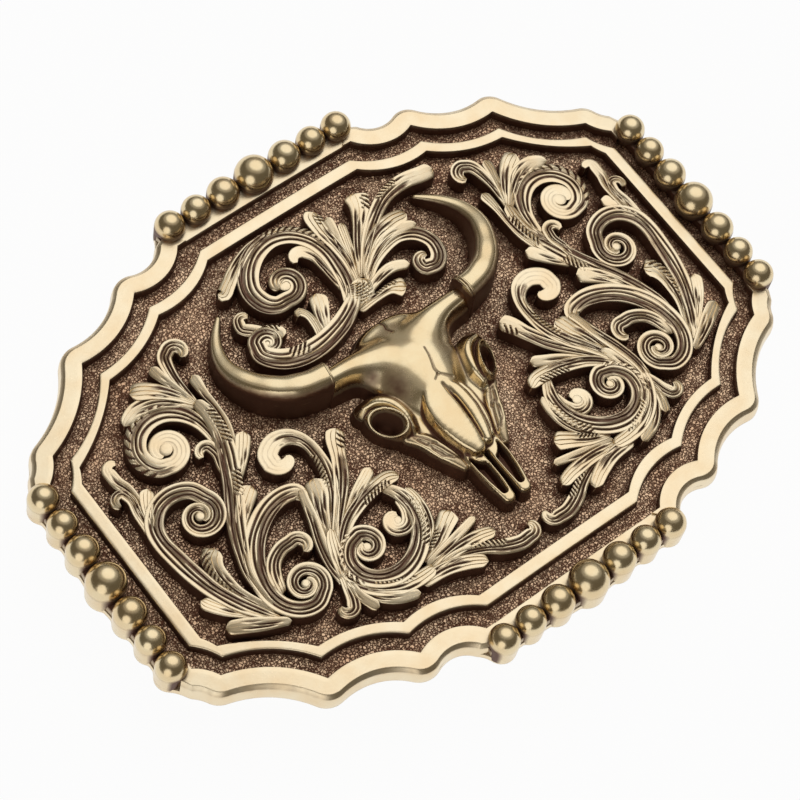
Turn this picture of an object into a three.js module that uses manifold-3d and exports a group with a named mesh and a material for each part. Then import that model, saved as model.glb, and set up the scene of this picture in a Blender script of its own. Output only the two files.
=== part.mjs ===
// A western trophy belt buckle: a curved plate with a scalloped outline, four rows of beads, an outer
// and an inner rim, pierced scrollwork, a longhorn skull, a swinging strap bail and a fixed hook.
// Millimetres, +Z up out of the face, +X along the length, +Y towards the top as it is worn.
// The hook's lowest point is at z = 0, and the plate's middle is over the origin.
import * as THREE from "three";
import { mergeVertices } from "three/addons/utils/BufferGeometryUtils.js";
import Module from "manifold-3d";

const wasm = await Module();
wasm.setup();

// Plate and field
const fieldHalfLength = 42.5; // middle to the inner rim's side bars
const fieldHalfHeight = 28.15; // middle to the inner rim's top bar
const bendRadius = 351; // the plate's curve over its length
const plateThickness = 1;
const plateFlange = 0.3; // the plate's edge beyond the rims and beads
const edgeWave = 0.4; // depth of the waves in the plate's edge along the beads
const solderFilm = 0.1; // the joint between two pieces soldered face to face
const sideGap = 0.3; // the joint between two pieces that meet side by side

// Rims
const innerRimWidth = 1.68;
const outerRimWidth = 2.7;
const rimHeight = 1.4;
const topChannel = 2.22; // stippled groove between the rims at the top and bottom
const sideChannel = 1.42; // the same groove at the two ends
const topBarHalf = 12.1; // half length of the inner rim's straight top bar
const sideBarHalf = 12.4; // half length of its straight side bar
const topCornerStart = 14; // where the outer rim's corner starts at the top
const sideCornerStart = 14.8; // where it ends at the side

// Beads and their rails
const middleBeadRadius = 2.65;
const secondBeadRadius = 2.2;
const thirdBeadRadius = 2;
const endBeadRadius = 2.05;
const beadGap = 0.1;
const topRailInset = 2.585; // the rail's inner edge to the beads' centres, top and bottom
const sideRailInset = 2;
const railHeight = 1.1;
const beadFlat = 0.9; // the beads' centres over their flat undersides

// Relief
const scrollHeight = 2.3;
const skullHeight = 5.6; // field to the top of the forehead
const skullHalfWidth = 7.4; // half width of the forehead
const hornBaseRadius = 1.8;
const hornRingRadius = 2.05;
const hornRingLength = 0.9;
const orbitRadius = 2.5; // rim of an eye socket
const orbitWall = 0.6;
const orbitDepth = 1.3;

// Strap bail and its hinge
const pivotInset = 30.55; // the plate's end to the bail's axis
const pinRadius = 1.3;
const pinPlay = 0.1;
const barrelWall = 0.8;
const pinLength = 6;
const bailReach = 18; // axis to the middle of the strap bar
const strapWidth = 40; // inside width of the bail
const barWidth = 3;
const barThickness = 2.4;
const bailCorner = 4;
const bailEdge = 0.4;
const stopGap = 0.3; // bail to plate when it lies back against its stop

// Hook
const hookInset = 24.55; // the plate's end to the middle of the hook's post
const postThickness = 2.2;
const hookWidth = 4.5;
const throat = 4.6;
const tipThickness = 1.9;
const tipReach = 5;
const footThickness = 1;
const footLength = 9;
const footWidth = 8;

// Facets of round stretches
const bendFacets = 10;
const arcSteps = 4;
const lobeSides = 12;
const beadSides = 10;
const hornSides = 10;
const boreSides = 24;
const orbitSides = 16;
const voluteStepsPerTurn = 10;
const lengthPoints = 4; // a ribbon is cut into lengths of this many points, which share a step
const curlFillShare = 0.75; // a curl's half width stays under this share of its radius
const foldShare = 0.02; // a ribbon's side moves on by at least this share of a cell at each point

// Places worked out from the sizes
const innerRimX = fieldHalfLength + innerRimWidth;
const innerRimY = fieldHalfHeight + innerRimWidth;
const railX = innerRimX + sideChannel;
const railY = innerRimY + topChannel;
const beadX = railX + sideRailInset;
const beadY = railY + topRailInset;
const plateHalfLength = beadX + middleBeadRadius + plateFlange;
const pivotOffset = plateHalfLength - pivotInset;
const hookOffset = plateHalfLength - hookInset;
const hookStand = solderFilm + footThickness + throat + tipThickness;
const backHeight = hookStand + dropAt(hookOffset);
const fieldLevel = backHeight + plateThickness;
const overlayLevel = fieldLevel + solderFilm;
const railTop = overlayLevel + railHeight;
const beadLevel = railTop + solderFilm + beadFlat;
const rimTop = overlayLevel + rimHeight;
const scrollTop = overlayLevel + scrollHeight;
const fullHeight = fieldLevel + 2 * skullHeight;
const bandHalfLength = plateHalfLength + middleBeadRadius;

// One cell of the grid that the relief is drawn on, as a share of the field's half length and height.
const cellAcrossShare = 1 / 42.5;
const cellUpShare = 1 / 28.15;
const cellX = fieldHalfLength * cellAcrossShare;
const cellY = fieldHalfHeight * cellUpShare;
const cell = Math.min(cellX, cellY);

// How far the curved plate has dropped at a distance x from the middle.
function dropAt(x) {
  return (x * x) / (2 * bendRadius);
}

// Solids and meshes

function solidOf(geometry) {
  const bare = geometry.clone();
  bare.deleteAttribute("normal");
  bare.deleteAttribute("uv");
  const merged = mergeVertices(bare);
  const vertProperties = merged.attributes.position.array;
  const triVerts = new Uint32Array(merged.index.array);
  return new wasm.Manifold(new wasm.Mesh({ numProp: 3, vertProperties, triVerts }));
}

function geometryOf(solid) {
  const mesh = solid.getMesh();
  const geometry = new THREE.BufferGeometry();
  geometry.setAttribute("position", new THREE.BufferAttribute(mesh.vertProperties, 3));
  geometry.setIndex(new THREE.BufferAttribute(mesh.triVerts, 1));
  geometry.computeVertexNormals();
  return geometry;
}

function joined(solids) {
  return solids.reduce((whole, piece) => whole.add(piece));
}

// A closed outline of [x, y] points as a straight prism between two levels.
function prism(points, low, high) {
  const shape = new THREE.Shape(points.map(([x, y]) => new THREE.Vector2(x, y)));
  const geometry = new THREE.ExtrudeGeometry(shape, { depth: high - low, bevelEnabled: false });
  geometry.translate(0, 0, low);
  return solidOf(geometry);
}

// The layer of space between two levels that follows the plate's curve in flat facets.
function curvedLayer(low, high) {
  const upper = [];
  const lower = [];
  for (let i = 0; i <= bendFacets; i += 1) {
    const x = bandHalfLength * ((2 * i) / bendFacets - 1);
    upper.push(new THREE.Vector2(x, high - dropAt(x)));
    lower.push(new THREE.Vector2(x, low - dropAt(x)));
  }
  const shape = new THREE.Shape([...lower, ...upper.reverse()]);
  const depth = 2 * plateHalfLength;
  const geometry = new THREE.ExtrudeGeometry(shape, { depth, bevelEnabled: false });
  geometry.translate(0, 0, -depth / 2);
  geometry.rotateX(Math.PI / 2);
  return solidOf(geometry);
}

// A prism that has been bent with the plate, between two levels.
function bent(solid, low, high) {
  return solid.intersect(curvedLayer(low, high));
}

// Outlines

// Points of the arc from a to b that sags to the right of the way by a share of its chord.
function sagArc(a, b, sagShare, steps) {
  const chord = Math.hypot(b[0] - a[0], b[1] - a[1]);
  const across = [(b[1] - a[1]) / chord, -(b[0] - a[0]) / chord];
  const sag = chord * sagShare;
  const radius = (chord * chord) / (8 * sag) + sag / 2;
  const half = Math.asin(chord / 2 / radius);
  const middle = [(a[0] + b[0]) / 2, (a[1] + b[1]) / 2];
  const centre = middle.map((m, i) => m + across[i] * (sag - radius));
  const start = Math.atan2(a[1] - centre[1], a[0] - centre[0]);
  const points = [];
  for (let i = 0; i <= steps; i += 1) {
    const angle = start + (2 * half * i) / steps;
    points.push([centre[0] + radius * Math.cos(angle), centre[1] + radius * Math.sin(angle)]);
  }
  return { points, centre, radius };
}

// The cusps of one corner, from its top end to its side end, given as shares of the way.
function cornerCusps(from, to, shares) {
  return shares.map(([across, down]) => [
    from[0] + (to[0] - from[0]) * across,
    from[1] + (to[1] - from[1]) * down,
  ]);
}

// A scalloped corner from the top to the side: arcs between cusps, sagging towards the middle.
function scallops(cusps, sagShares) {
  const points = [cusps[0]];
  sagShares.forEach((sagShare, i) => {
    points.push(...sagArc(cusps[i], cusps[i + 1], sagShare, arcSteps).points.slice(1));
  });
  return points;
}

// The same corner moved outwards by a width, with a round corner about each cusp.
function outsideScallops(cusps, sagShares, width) {
  const points = [];
  sagShares.forEach((sagShare, i) => {
    const arc = sagArc(cusps[i], cusps[i + 1], sagShare, arcSteps);
    arc.points.forEach(([x, y]) => {
      const outwards = [(arc.centre[0] - x) / arc.radius, (arc.centre[1] - y) / arc.radius];
      points.push([x + outwards[0] * width, y + outwards[1] * width]);
    });
    if (i + 1 < sagShares.length) {
      const cusp = cusps[i + 1];
      const next = sagArc(cusp, cusps[i + 2], sagShares[i + 1], arcSteps);
      const from = Math.atan2(arc.centre[1] - cusp[1], arc.centre[0] - cusp[0]);
      const to = Math.atan2(next.centre[1] - cusp[1], next.centre[0] - cusp[0]);
      for (let step = 1; step < arcSteps; step += 1) {
        const angle = from + ((to - from) * step) / arcSteps;
        points.push([cusp[0] + width * Math.cos(angle), cusp[1] + width * Math.sin(angle)]);
      }
    }
  });
  return points;
}

// A closed outline from the points of its first quarter, which run from the top to the right.
function fourQuarters(quarter) {
  const lower = quarter.map(([x, y]) => [x, -y]).reverse();
  const right = [...quarter, ...lower];
  const left = right.map(([x, y]) => [-x, y]).reverse();
  return [...right, ...left];
}

function mirrored(points, signX, signY) {
  return points.map(([x, y]) => [x * signX, y * signY]);
}

// Cusps as shares of the way along and down each corner, and the sag of the arcs between them as
// shares of their chords.
const outerCuspShares = [[0, 0], [0.266, 0.133], [0.611, 0.371], [0.927, 0.838], [1, 1]];
const outerSagShares = [0.178, 0.129, 0.094, 0.07];
const ringOutsideShares = [[0, 0], [0.309, 0.159], [0.631, 0.383], [0.926, 0.799], [1, 1]];
const ringOutsideSagShares = [0.117, 0.105, 0.09, 0.06];
const ringInsideShares = [[0, 0], [0.315, 0.172], [0.649, 0.4075], [0.967, 0.8746], [1, 1]];
const ringInsideSagShares = [0.116, 0.087, 0.057, 0.03];

const outerCusps = cornerCusps([topCornerStart, railY], [railX, sideCornerStart], outerCuspShares);
// Beads: each row has a large one in the middle and three smaller ones to each side.
function beadRow() {
  const radii = [middleBeadRadius, secondBeadRadius, thirdBeadRadius, endBeadRadius];
  const row = [{ offset: 0, radius: middleBeadRadius }];
  let offset = 0;
  for (let i = 1; i < radii.length; i += 1) {
    offset += radii[i - 1] + beadGap + radii[i];
    row.push({ offset, radius: radii[i] });
    row.unshift({ offset: -offset, radius: radii[i] });
  }
  return row;
}

const beads = beadRow();
const lastOffset = beads[beads.length - 1].offset;
const rows = [
  { side: "top", along: [1, 0], out: [0, 1], beadLine: beadY, railEdge: railY },
  { side: "right", along: [0, -1], out: [1, 0], beadLine: beadX, railEdge: railX },
  { side: "bottom", along: [-1, 0], out: [0, -1], beadLine: beadY, railEdge: railY },
  { side: "left", along: [0, 1], out: [-1, 0], beadLine: beadX, railEdge: railX },
];

// A point of a row, given along it and outwards from the buckle's middle.
function rowPoint(row, along, out) {
  return [row.along[0] * along + row.out[0] * out, row.along[1] * along + row.out[1] * out];
}

function rowPrism(row, corners) {
  return prism(corners.map(([along, out]) => rowPoint(row, along, out)), 0, fullHeight);
}

// Upright posts about a row's beads, wider than the beads by an allowance, which give the plate and
// the rail their lobed edges.
function lobesOf(row, allowance) {
  const posts = beads.map(({ offset, radius }) => {
    const wide = radius + allowance;
    const geometry = new THREE.CylinderGeometry(wide, wide, fullHeight, lobeSides);
    const [x, y] = rowPoint(row, offset, row.beadLine);
    geometry.rotateX(Math.PI / 2);
    geometry.translate(x, y, fullHeight / 2);
    return solidOf(geometry);
  });
  return joined(posts);
}

// The plate's edge between the lobes of neighbouring beads, short of them by the depth of a wave.
function edgeOf(row) {
  const reach = beads.map(({ offset, radius }) => [
    offset,
    row.beadLine + radius + plateFlange - edgeWave,
  ]);
  return rowPrism(row, [[-lastOffset, row.railEdge], [lastOffset, row.railEdge], ...reach.reverse()]);
}

function beadGeometry(radius) {
  const profile = [new THREE.Vector2(0, -beadFlat)];
  const first = -Math.asin(beadFlat / radius);
  const steps = arcSteps + 1;
  for (let i = 0; i < steps; i += 1) {
    const angle = first + ((Math.PI / 2 - first) * i) / steps;
    profile.push(new THREE.Vector2(radius * Math.cos(angle), radius * Math.sin(angle)));
  }
  profile.push(new THREE.Vector2(0, radius));
  const geometry = new THREE.LatheGeometry(profile, beadSides);
  geometry.rotateX(Math.PI / 2);
  return geometryOf(solidOf(geometry));
}

// Plate, rails and rims

function basePlate() {
  const corners = outsideScallops(outerCusps, outerSagShares, outerRimWidth + plateFlange);
  const body = prism(fourQuarters(corners), 0, fullHeight);
  const edges = rows.map((row) => lobesOf(row, plateFlange).add(edgeOf(row)));
  return bent(body.add(joined(edges)), backHeight, fieldLevel);
}

function beadRail(row) {
  const { railEdge, beadLine } = row;
  const far = beadLine + 2 * middleBeadRadius;
  const end = lastOffset + endBeadRadius;
  const strip = rowPrism(row, [
    [-lastOffset, railEdge], [lastOffset, railEdge], [lastOffset, beadLine], [-lastOffset, beadLine],
  ]);
  const beyondEdge = rowPrism(row, [[-end, railEdge], [end, railEdge], [end, far], [-end, far]]);
  return bent(strip.add(lobesOf(row, 0)).intersect(beyondEdge), overlayLevel, railTop);
}

function outerRim(signX, signY) {
  const inside = scallops(outerCusps, outerSagShares);
  const outside = outsideScallops(outerCusps, outerSagShares, outerRimWidth);
  const outline = mirrored([...inside, ...outside.reverse()], signX, signY);
  if (signX * signY < 0) outline.reverse();
  const neighbours = joined(rows.map((row) => lobesOf(row, sideGap)));
  return bent(prism(outline, 0, fullHeight).subtract(neighbours), overlayLevel, rimTop);
}

function innerRim() {
  const outsideCusps = cornerCusps([topBarHalf, innerRimY], [innerRimX, sideBarHalf], ringOutsideShares);
  const insideCusps = cornerCusps(
    [topBarHalf, fieldHalfHeight],
    [fieldHalfLength, sideBarHalf],
    ringInsideShares,
  );
  const outside = prism(fourQuarters(scallops(outsideCusps, ringOutsideSagShares)), 0, fullHeight);
  const inside = prism(fourQuarters(scallops(insideCusps, ringInsideSagShares)), 0, fullHeight);
  return bent(outside.subtract(inside), overlayLevel, rimTop);
}

// Scrollwork: every stem and leaf is a ribbon, given as [across, up, half width] in cells of the
// grid. A curl winds on from the last point about its centre, with its end radius and half width in
// cells, its number of turns, and way 1 for anticlockwise or -1 for clockwise.
const sideScrollShares = [
  // Outer stem with its volute, and the leaves at its foot
  {
    stem: [[-33.4, -16.6, 0.4], [-34.8, -14.8, 0.65], [-36.4, -12.2, 0.95], [-37.8, -9, 1.1],
      [-38.6, -6, 1.2], [-39.1, -3, 1.2], [-39.4, 0, 1.15], [-38.9, 2.3, 1.2], [-37.2, 4, 1.2],
      [-34.9, 4.4, 1.15], [-32.7, 3.5, 1.1], [-31.6, 1.5, 1.05]],
    curl: { centre: [-33.7, 0], end: 0.5, width: 0.45, turns: 1.35, way: -1 },
  },
  { stem: [[-33.4, -15.4, 0.4], [-35.4, -11.4, 0.65], [-36.1, -9, 0.95], [-36.2, -6.8, 1.1],
    [-35.7, -5.2, 1.35], [-34.7, -4.5, 1.35]] },
  { stem: [[-34.6, -15.4, 0.4], [-36.8, -13.3, 0.5], [-38.3, -11.5, 0.75], [-39.4, -9.9, 0.85],
    [-39.9, -8.8, 0.85]] },
  { stem: [[-32.6, -17.4, 0.5], [-35.4, -15.9, 0.85], [-37.6, -14.6, 0.95],
    [-39.6, -13.5, 0.85]] },
  {
    stem: [[-39.8, 1.5, 0.5], [-39.6, 4.6, 0.6], [-39.2, 6.6, 0.65], [-39.5, 8, 0.65]],
    curl: { centre: [-40.3, 7.3], end: 0.5, width: 0.5, turns: 0.55, way: 1 },
  },
  {
    stem: [[-38.9, 2.5, 0.5], [-38.7, 7.5, 0.7], [-39.2, 9.6, 0.8], [-39.3, 11.2, 0.8]],
    curl: { centre: [-38.5, 11.5], end: 0.5, width: 0.6, turns: 0.5, way: -1 },
  },
  { stem: [[-39.2, 1.8, 0.4], [-38.4, 4.2, 0.7], [-37.5, 5.8, 0.95], [-36.7, 6.8, 0.9]] },
  // The arched sweep and its volute
  {
    stem: [[-21.9, -5.8, 0.7], [-22.3, -4.3, 1.1], [-24.4, -3.75, 1.2], [-26.8, -4.2, 1.3],
      [-29.2, -5.6, 1.35], [-31.1, -7.6, 1.35], [-32.4, -10, 1.3], [-32.9, -13, 1.2],
      [-32.3, -15.4, 1.1], [-30.8, -17.1, 1.05], [-28.8, -17.6, 1], [-27, -16.6, 0.95]],
    curl: { centre: [-28.5, -14.7], end: 0.5, width: 0.45, turns: 1.3, way: 1 },
  },
  {
    stem: [[-31.5, -14, 0.7], [-30.9, -11.6, 0.9], [-29.9, -10.1, 0.95], [-28.3, -9.3, 0.95],
      [-26.8, -9.25, 0.95]],
    curl: { centre: [-26.3, -10.4], end: 0.75, width: 0.75, turns: 0.55, way: -1 },
  },
  // The tall stem, its volute and its crown of leaves
  { stem: [[-33.4, -15, 0.4], [-33.4, -10, 0.6], [-32.4, -7, 0.9], [-31, -4, 1.15],
    [-29.3, -1.2, 1.25], [-27.9, 1.2, 1.25], [-26.8, 3.4, 1.25], [-25.8, 5.6, 1.2],
    [-25.1, 8, 1.1], [-24.9, 10.5, 0.95], [-25.2, 12.8, 0.7]] },
  {
    stem: [[-26.2, 6, 0.6], [-26.3, 8.8, 0.75], [-26.7, 10.8, 0.95], [-27.8, 12.7, 1.2],
      [-29.6, 14, 1.35], [-31.8, 14.2, 1.4], [-33.8, 13.3, 1.4], [-35, 11.5, 1.3],
      [-35, 9.6, 1.25], [-34, 8.1, 1.2], [-32.4, 7.5, 1.1]],
    curl: { centre: [-31.9, 9.7], end: 0.8, width: 1, turns: 0.9, way: 1 },
  },
  { stem: [[-25.4, 12.2, 0.4], [-27.6, 14.4, 0.8], [-29.6, 15.7, 1.1], [-31.8, 16.1, 1.1],
    [-33.4, 15.7, 0.9], [-34.2, 15.3, 0.5]] },
  { stem: [[-25.2, 12.6, 0.4], [-26.9, 15, 0.8], [-28.5, 16.8, 1.1], [-30, 17.9, 1.25],
    [-31.2, 18.4, 1]] },
  { stem: [[-25.3, 12.6, 0.35], [-26.2, 16, 0.5], [-26.8, 18.3, 0.7], [-27, 19.8, 0.75]] },
  {
    stem: [[-25.2, 12.4, 0.4], [-25.5, 15.5, 0.6], [-25.4, 17.8, 0.8], [-24.9, 19.8, 0.95],
      [-23.8, 20.6, 1]],
    curl: { centre: [-23.4, 19.5], end: 0.75, width: 0.9, turns: 0.5, way: -1 },
  },
  { stem: [[-24.8, 5.2, 0.5], [-23.8, 8, 0.5], [-23.5, 10.5, 0.4], [-23.6, 13, 0.55],
    [-23.5, 15, 0.75], [-23.4, 15.9, 0.75]] },
  { stem: [[-26.8, 1.2, 0.4], [-25, 3.2, 0.8], [-23.7, 4.8, 1], [-22.8, 6, 0.95]] },
  {
    stem: [[-27.9, 1.2, 0.5], [-27.6, 3.6, 0.7], [-27.1, 5.4, 0.75], [-27.3, 6.9, 0.75]],
    curl: { centre: [-28.2, 6.4], end: 0.6, width: 0.65, turns: 0.5, way: 1 },
  },
  { stem: [[-31.4, -5.2, 0.5], [-29.5, -3, 0.9], [-27.8, -1.5, 1.15], [-26.3, -0.4, 1.15]] },
  // The fan of stems that rises between the sweep and the skull
  { stem: [[-24.6, -17.6, 0.6], [-24.5, -14.5, 0.7], [-23.8, -11.5, 0.8], [-22.8, -8.6, 0.7],
    [-22.1, -6, 0.6], [-21.6, -4.4, 0.6]] },
  { stem: [[-24.2, -17, 0.7], [-23.4, -14.5, 0.9], [-22.6, -12.3, 0.8], [-21.8, -10.8, 0.5]] },
  {
    stem: [[-23, -13.2, 0.5], [-20.6, -9.6, 0.8], [-18.9, -7.2, 0.95], [-17.7, -4.6, 0.95],
      [-17.2, -2, 0.85], [-17.4, 0.4, 0.85], [-18.6, 2.1, 1.1], [-20.5, 2.6, 1.25],
      [-22.2, 1.7, 1.3], [-22.5, 0.2, 1.3]],
    curl: { centre: [-21.3, 0.4], end: 0.9, width: 1.1, turns: 0.45, way: 1 },
  },
  { stem: [[-22.2, -12.2, 0.5], [-19, -8.9, 0.8], [-16.8, -6.3, 1], [-15.3, -3.8, 1],
    [-14.2, -1.6, 1.2], [-13.2, -0.4, 1.2]] },
  { stem: [[-22.6, -11.4, 0.5], [-21.3, -8.4, 0.9], [-20.3, -6.4, 1.2], [-19.7, -4.7, 1.35],
    [-19.5, -4.2, 1.2]] },
  { stem: [[-19.6, -10.9, 0.4], [-16.6, -9, 0.7], [-14.4, -7.9, 0.8], [-12.9, -7.1, 0.8]] },
  { stem: [[-23, -14.2, 0.5], [-19.8, -11.5, 0.8], [-17, -10.2, 0.95], [-14.2, -9.6, 1],
    [-12, -9.5, 1], [-10.7, -10.1, 0.7]] },
  // The great curve round the lower volute, and the leaves along its foot
  {
    stem: [[-13.3, -9.9, 0.6], [-12.1, -12.2, 0.9], [-11.9, -14.4, 1], [-12.6, -16.8, 1.1],
      [-14.2, -18.8, 1.2], [-16.4, -20.1, 1.25], [-18.8, -20.4, 1.25], [-21, -19.5, 1.2],
      [-22.4, -17.8, 1.2], [-22.6, -15.6, 1.15], [-21.4, -13.9, 1.1], [-19.6, -13.3, 1.05]],
    curl: { centre: [-19.7, -15.3], end: 0.5, width: 0.5, turns: 1, way: -1 },
  },
  {
    stem: [[-12.6, -12.2, 0.6], [-12.8, -14.2, 0.7], [-13.3, -15.5, 0.9]],
    curl: { centre: [-14.6, -14.7], end: 0.6, width: 0.8, turns: 0.8, way: -1 },
  },
  { stem: [[-13.5, -19.3, 0.5], [-12, -17.8, 0.8], [-11.1, -15.8, 0.8], [-10.8, -13.6, 0.7],
    [-11, -11.8, 0.5]] },
  { stem: [[-15, -20.9, 0.4], [-12.4, -20, 0.8], [-10.4, -18.8, 1.1], [-8.9, -17.9, 1.3],
    [-8.3, -17.6, 1.2]] },
  { stem: [[-15, -21.4, 0.4], [-11.4, -20.9, 0.55], [-8.6, -20.4, 0.6], [-6.4, -19.9, 0.5]] },
  { stem: [[-15, -22.3, 0.7], [-11, -22, 0.85], [-7.8, -22.2, 0.95], [-5.4, -22.8, 0.8]] },
  {
    stem: [[-14, -22.5, 0.6], [-10.5, -22.8, 0.7], [-7.8, -23.9, 0.85], [-5.9, -25.1, 1],
      [-3.9, -25.9, 1], [-2.2, -25.9, 0.95]],
    curl: { centre: [-1.9, -24.9], end: 0.6, width: 0.7, turns: 0.45, way: 1 },
  },
  { stem: [[-17, -22.9, 0.9], [-13.5, -23.2, 0.95], [-11, -24, 1], [-9.2, -25, 0.9],
    [-8.6, -25.5, 0.7]] },
  { stem: [[-23.7, -18.4, 0.5], [-22.4, -21, 0.8], [-20.4, -22.8, 0.85], [-17.9, -23.9, 0.6]] },
  { stem: [[-24.3, -15.5, 0.8], [-23.5, -18, 1], [-21.9, -20.2, 1.1], [-19.6, -21.7, 1.1],
    [-17, -22.3, 1], [-14.5, -22.3, 0.8]] },
  { stem: [[-24.1, -17.2, 0.5], [-24.1, -19.8, 0.6], [-23.4, -21.9, 0.7], [-23.1, -22.4, 0.6]] },
  {
    stem: [[-24.1, -16, 0.5], [-24.7, -18, 0.65], [-25.1, -19.6, 0.8], [-25.6, -20.6, 0.9]],
    curl: { centre: [-26.3, -20], end: 0.6, width: 0.75, turns: 0.5, way: -1 },
  },
];

const crownScrollShares = [
  // The great curve to the left, with its ball, leaf and comma
  {
    stem: [[-1.2, 12.2, 0.8], [0.2, 14.8, 1.1], [0.8, 17.6, 1.15], [0.9, 20.4, 1.2],
      [0.1, 23, 1.3], [-1.7, 24.9, 1.3], [-4.2, 25.7, 1.3], [-7, 25.1, 1.4], [-9.3, 23.4, 1.45],
      [-10.5, 21.1, 1.35], [-10.2, 18.9, 1.3], [-9, 17.6, 1.2], [-7.2, 17.4, 1.1]],
    curl: { centre: [-6.4, 19.4], end: 0.8, width: 1, turns: 0.85, way: 1 },
  },
  {
    stem: [[-0.3, 13.2, 0.6], [-0.5, 16.4, 0.6], [-0.6, 18.8, 0.65], [-0.8, 20.6, 0.75],
      [-1.5, 21.8, 0.85]],
    curl: { centre: [-2.5, 21.2], end: 0.6, width: 0.9, turns: 0.45, way: 1 },
  },
  { stem: [[-3.6, 26.5, 0.5], [-7, 26.2, 0.7], [-10, 25, 0.85], [-12.3, 23.5, 0.95],
    [-13.6, 22.7, 1], [-14.1, 23.2, 0.8]] },
  // The low curve to the left
  {
    stem: [[0.6, 13.6, 0.9], [-1.4, 12, 1.1], [-4.4, 10.6, 1.3], [-7.6, 9.9, 1.4],
      [-10.6, 10.1, 1.45], [-13, 11.1, 1.4], [-14.6, 12.9, 1.3], [-14.4, 14.7, 1.1]],
    curl: { centre: [-13.1, 13.9], end: 0.5, width: 0.6, turns: 0.9, way: -1 },
  },
  { stem: [[-14.2, 15.4, 0.6], [-12.4, 15.3, 0.9], [-11.2, 14.3, 1], [-11.1, 13.5, 0.95]] },
  {
    stem: [[-12.4, 15.2, 0.9], [-13.6, 16.4, 0.9], [-14.6, 17.4, 0.8], [-14.4, 18.4, 0.75]],
    curl: { centre: [-13.6, 18.2], end: 0.5, width: 0.55, turns: 0.45, way: -1 },
  },
  { stem: [[-7, 10.6, 0.5], [-6.6, 12.6, 0.55], [-6.6, 14.2, 0.55], [-7.2, 15.2, 0.6],
    [-7.8, 14.8, 0.5]] },
  { stem: [[-6, 10.6, 0.5], [-5.2, 12.8, 0.9], [-4.3, 14.8, 1.2], [-3.8, 16.1, 1.1]] },
  // The upright leaves and the ones that lean to the right
  { stem: [[1.6, 14.4, 0.4], [2.3, 17.4, 0.7], [2.4, 20.2, 0.85], [2.2, 22.8, 1],
    [2.4, 25.1, 1.2], [3, 25.8, 1.1]] },
  { stem: [[2.2, 16.5, 0.4], [3, 20, 0.5], [3.6, 22.4, 0.6], [3.9, 24.2, 0.7]] },
  { stem: [[2, 14.6, 0.35], [3.6, 18.5, 0.5], [4.7, 21.6, 0.6], [5, 22.6, 0.55]] },
  { stem: [[2.4, 14.8, 0.4], [4.8, 18.4, 0.7], [7, 21.2, 0.9], [8.6, 23.3, 1.4],
    [9.2, 25.1, 1.8]] },
  { stem: [[2.8, 14.8, 0.4], [5.8, 18.1, 0.7], [8.6, 20.4, 0.9], [12, 22.4, 1], [15.4, 23, 1.1],
    [18.4, 22.6, 1.15], [20.2, 22.5, 1.1]] },
  { stem: [[2.8, 14.6, 0.4], [5.2, 16.9, 0.8], [7.8, 18.5, 1.05], [10.6, 19.1, 1.15],
    [13, 18.9, 1]] },
  { stem: [[2.8, 14.2, 0.4], [5.4, 16.2, 0.7], [8.4, 17.4, 0.8], [11.4, 17.5, 0.8],
    [13.2, 17, 0.5]] },
  // The volute to the right, the leaf into it, the pocket under it and the collar that binds all
  {
    stem: [[2.4, 13.4, 0.5], [4.8, 15.4, 0.8], [7.4, 16.5, 0.9], [10, 16.8, 0.9],
      [12.2, 15.9, 1.05], [13.3, 14, 1.05], [13, 12, 1.1], [11.8, 10.9, 1.1], [10.3, 11.1, 1.1]],
    curl: { centre: [11.1, 12.1], end: 0.6, width: 0.8, turns: 0.5, way: -1 },
  },
  { stem: [[1.4, 12.4, 0.5], [4.4, 13.4, 0.7], [6.6, 13.6, 0.8], [8.8, 12.8, 0.7]] },
  { stem: [[-0.6, 11.2, 0.7], [2.6, 11.3, 0.6], [4.4, 11.3, 0.8], [5.6, 10.8, 1.3],
    [6.3, 10.3, 1.5]] },
  { stem: [[-0.8, 11.4, 0.8], [1.4, 13.2, 1.6], [2.3, 14.6, 1.2]] },
];

// The centre line of a ribbon in millimetres, with its curl wound on, as [x, y, half width].
function ribbonLine({ stem, curl }) {
  const line = stem.map(([x, y, half]) => [x * cellX, y * cellY, half * cell]);
  if (!curl) return line;
  const centre = [curl.centre[0] * cellX, curl.centre[1] * cellY];
  const [startX, startY, startHalf] = line[line.length - 1];
  const startRadius = Math.hypot(startX - centre[0], startY - centre[1]);
  const startAngle = Math.atan2(startY - centre[1], startX - centre[0]);
  const steps = Math.ceil(curl.turns * voluteStepsPerTurn);
  for (let i = 1; i <= steps; i += 1) {
    const share = i / steps;
    const radius = startRadius + (curl.end * cell - startRadius) * share;
    const angle = startAngle + curl.way * 2 * Math.PI * curl.turns * share;
    const half = startHalf + (curl.width * cell - startHalf) * share;
    line.push([
      centre[0] + radius * Math.cos(angle),
      centre[1] + radius * Math.sin(angle),
      Math.min(half, radius * curlFillShare),
    ]);
  }
  return line;
}

// One side of a ribbon takes only the points that lead forwards, so that a tight bend never folds.
function addForward(side, point, heading) {
  const before = side[side.length - 1];
  const ahead = before
    ? (point[0] - before[0]) * Math.cos(heading) + (point[1] - before[1]) * Math.sin(heading)
    : cell;
  if (ahead > foldShare * cell) side.push(point);
}

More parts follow.
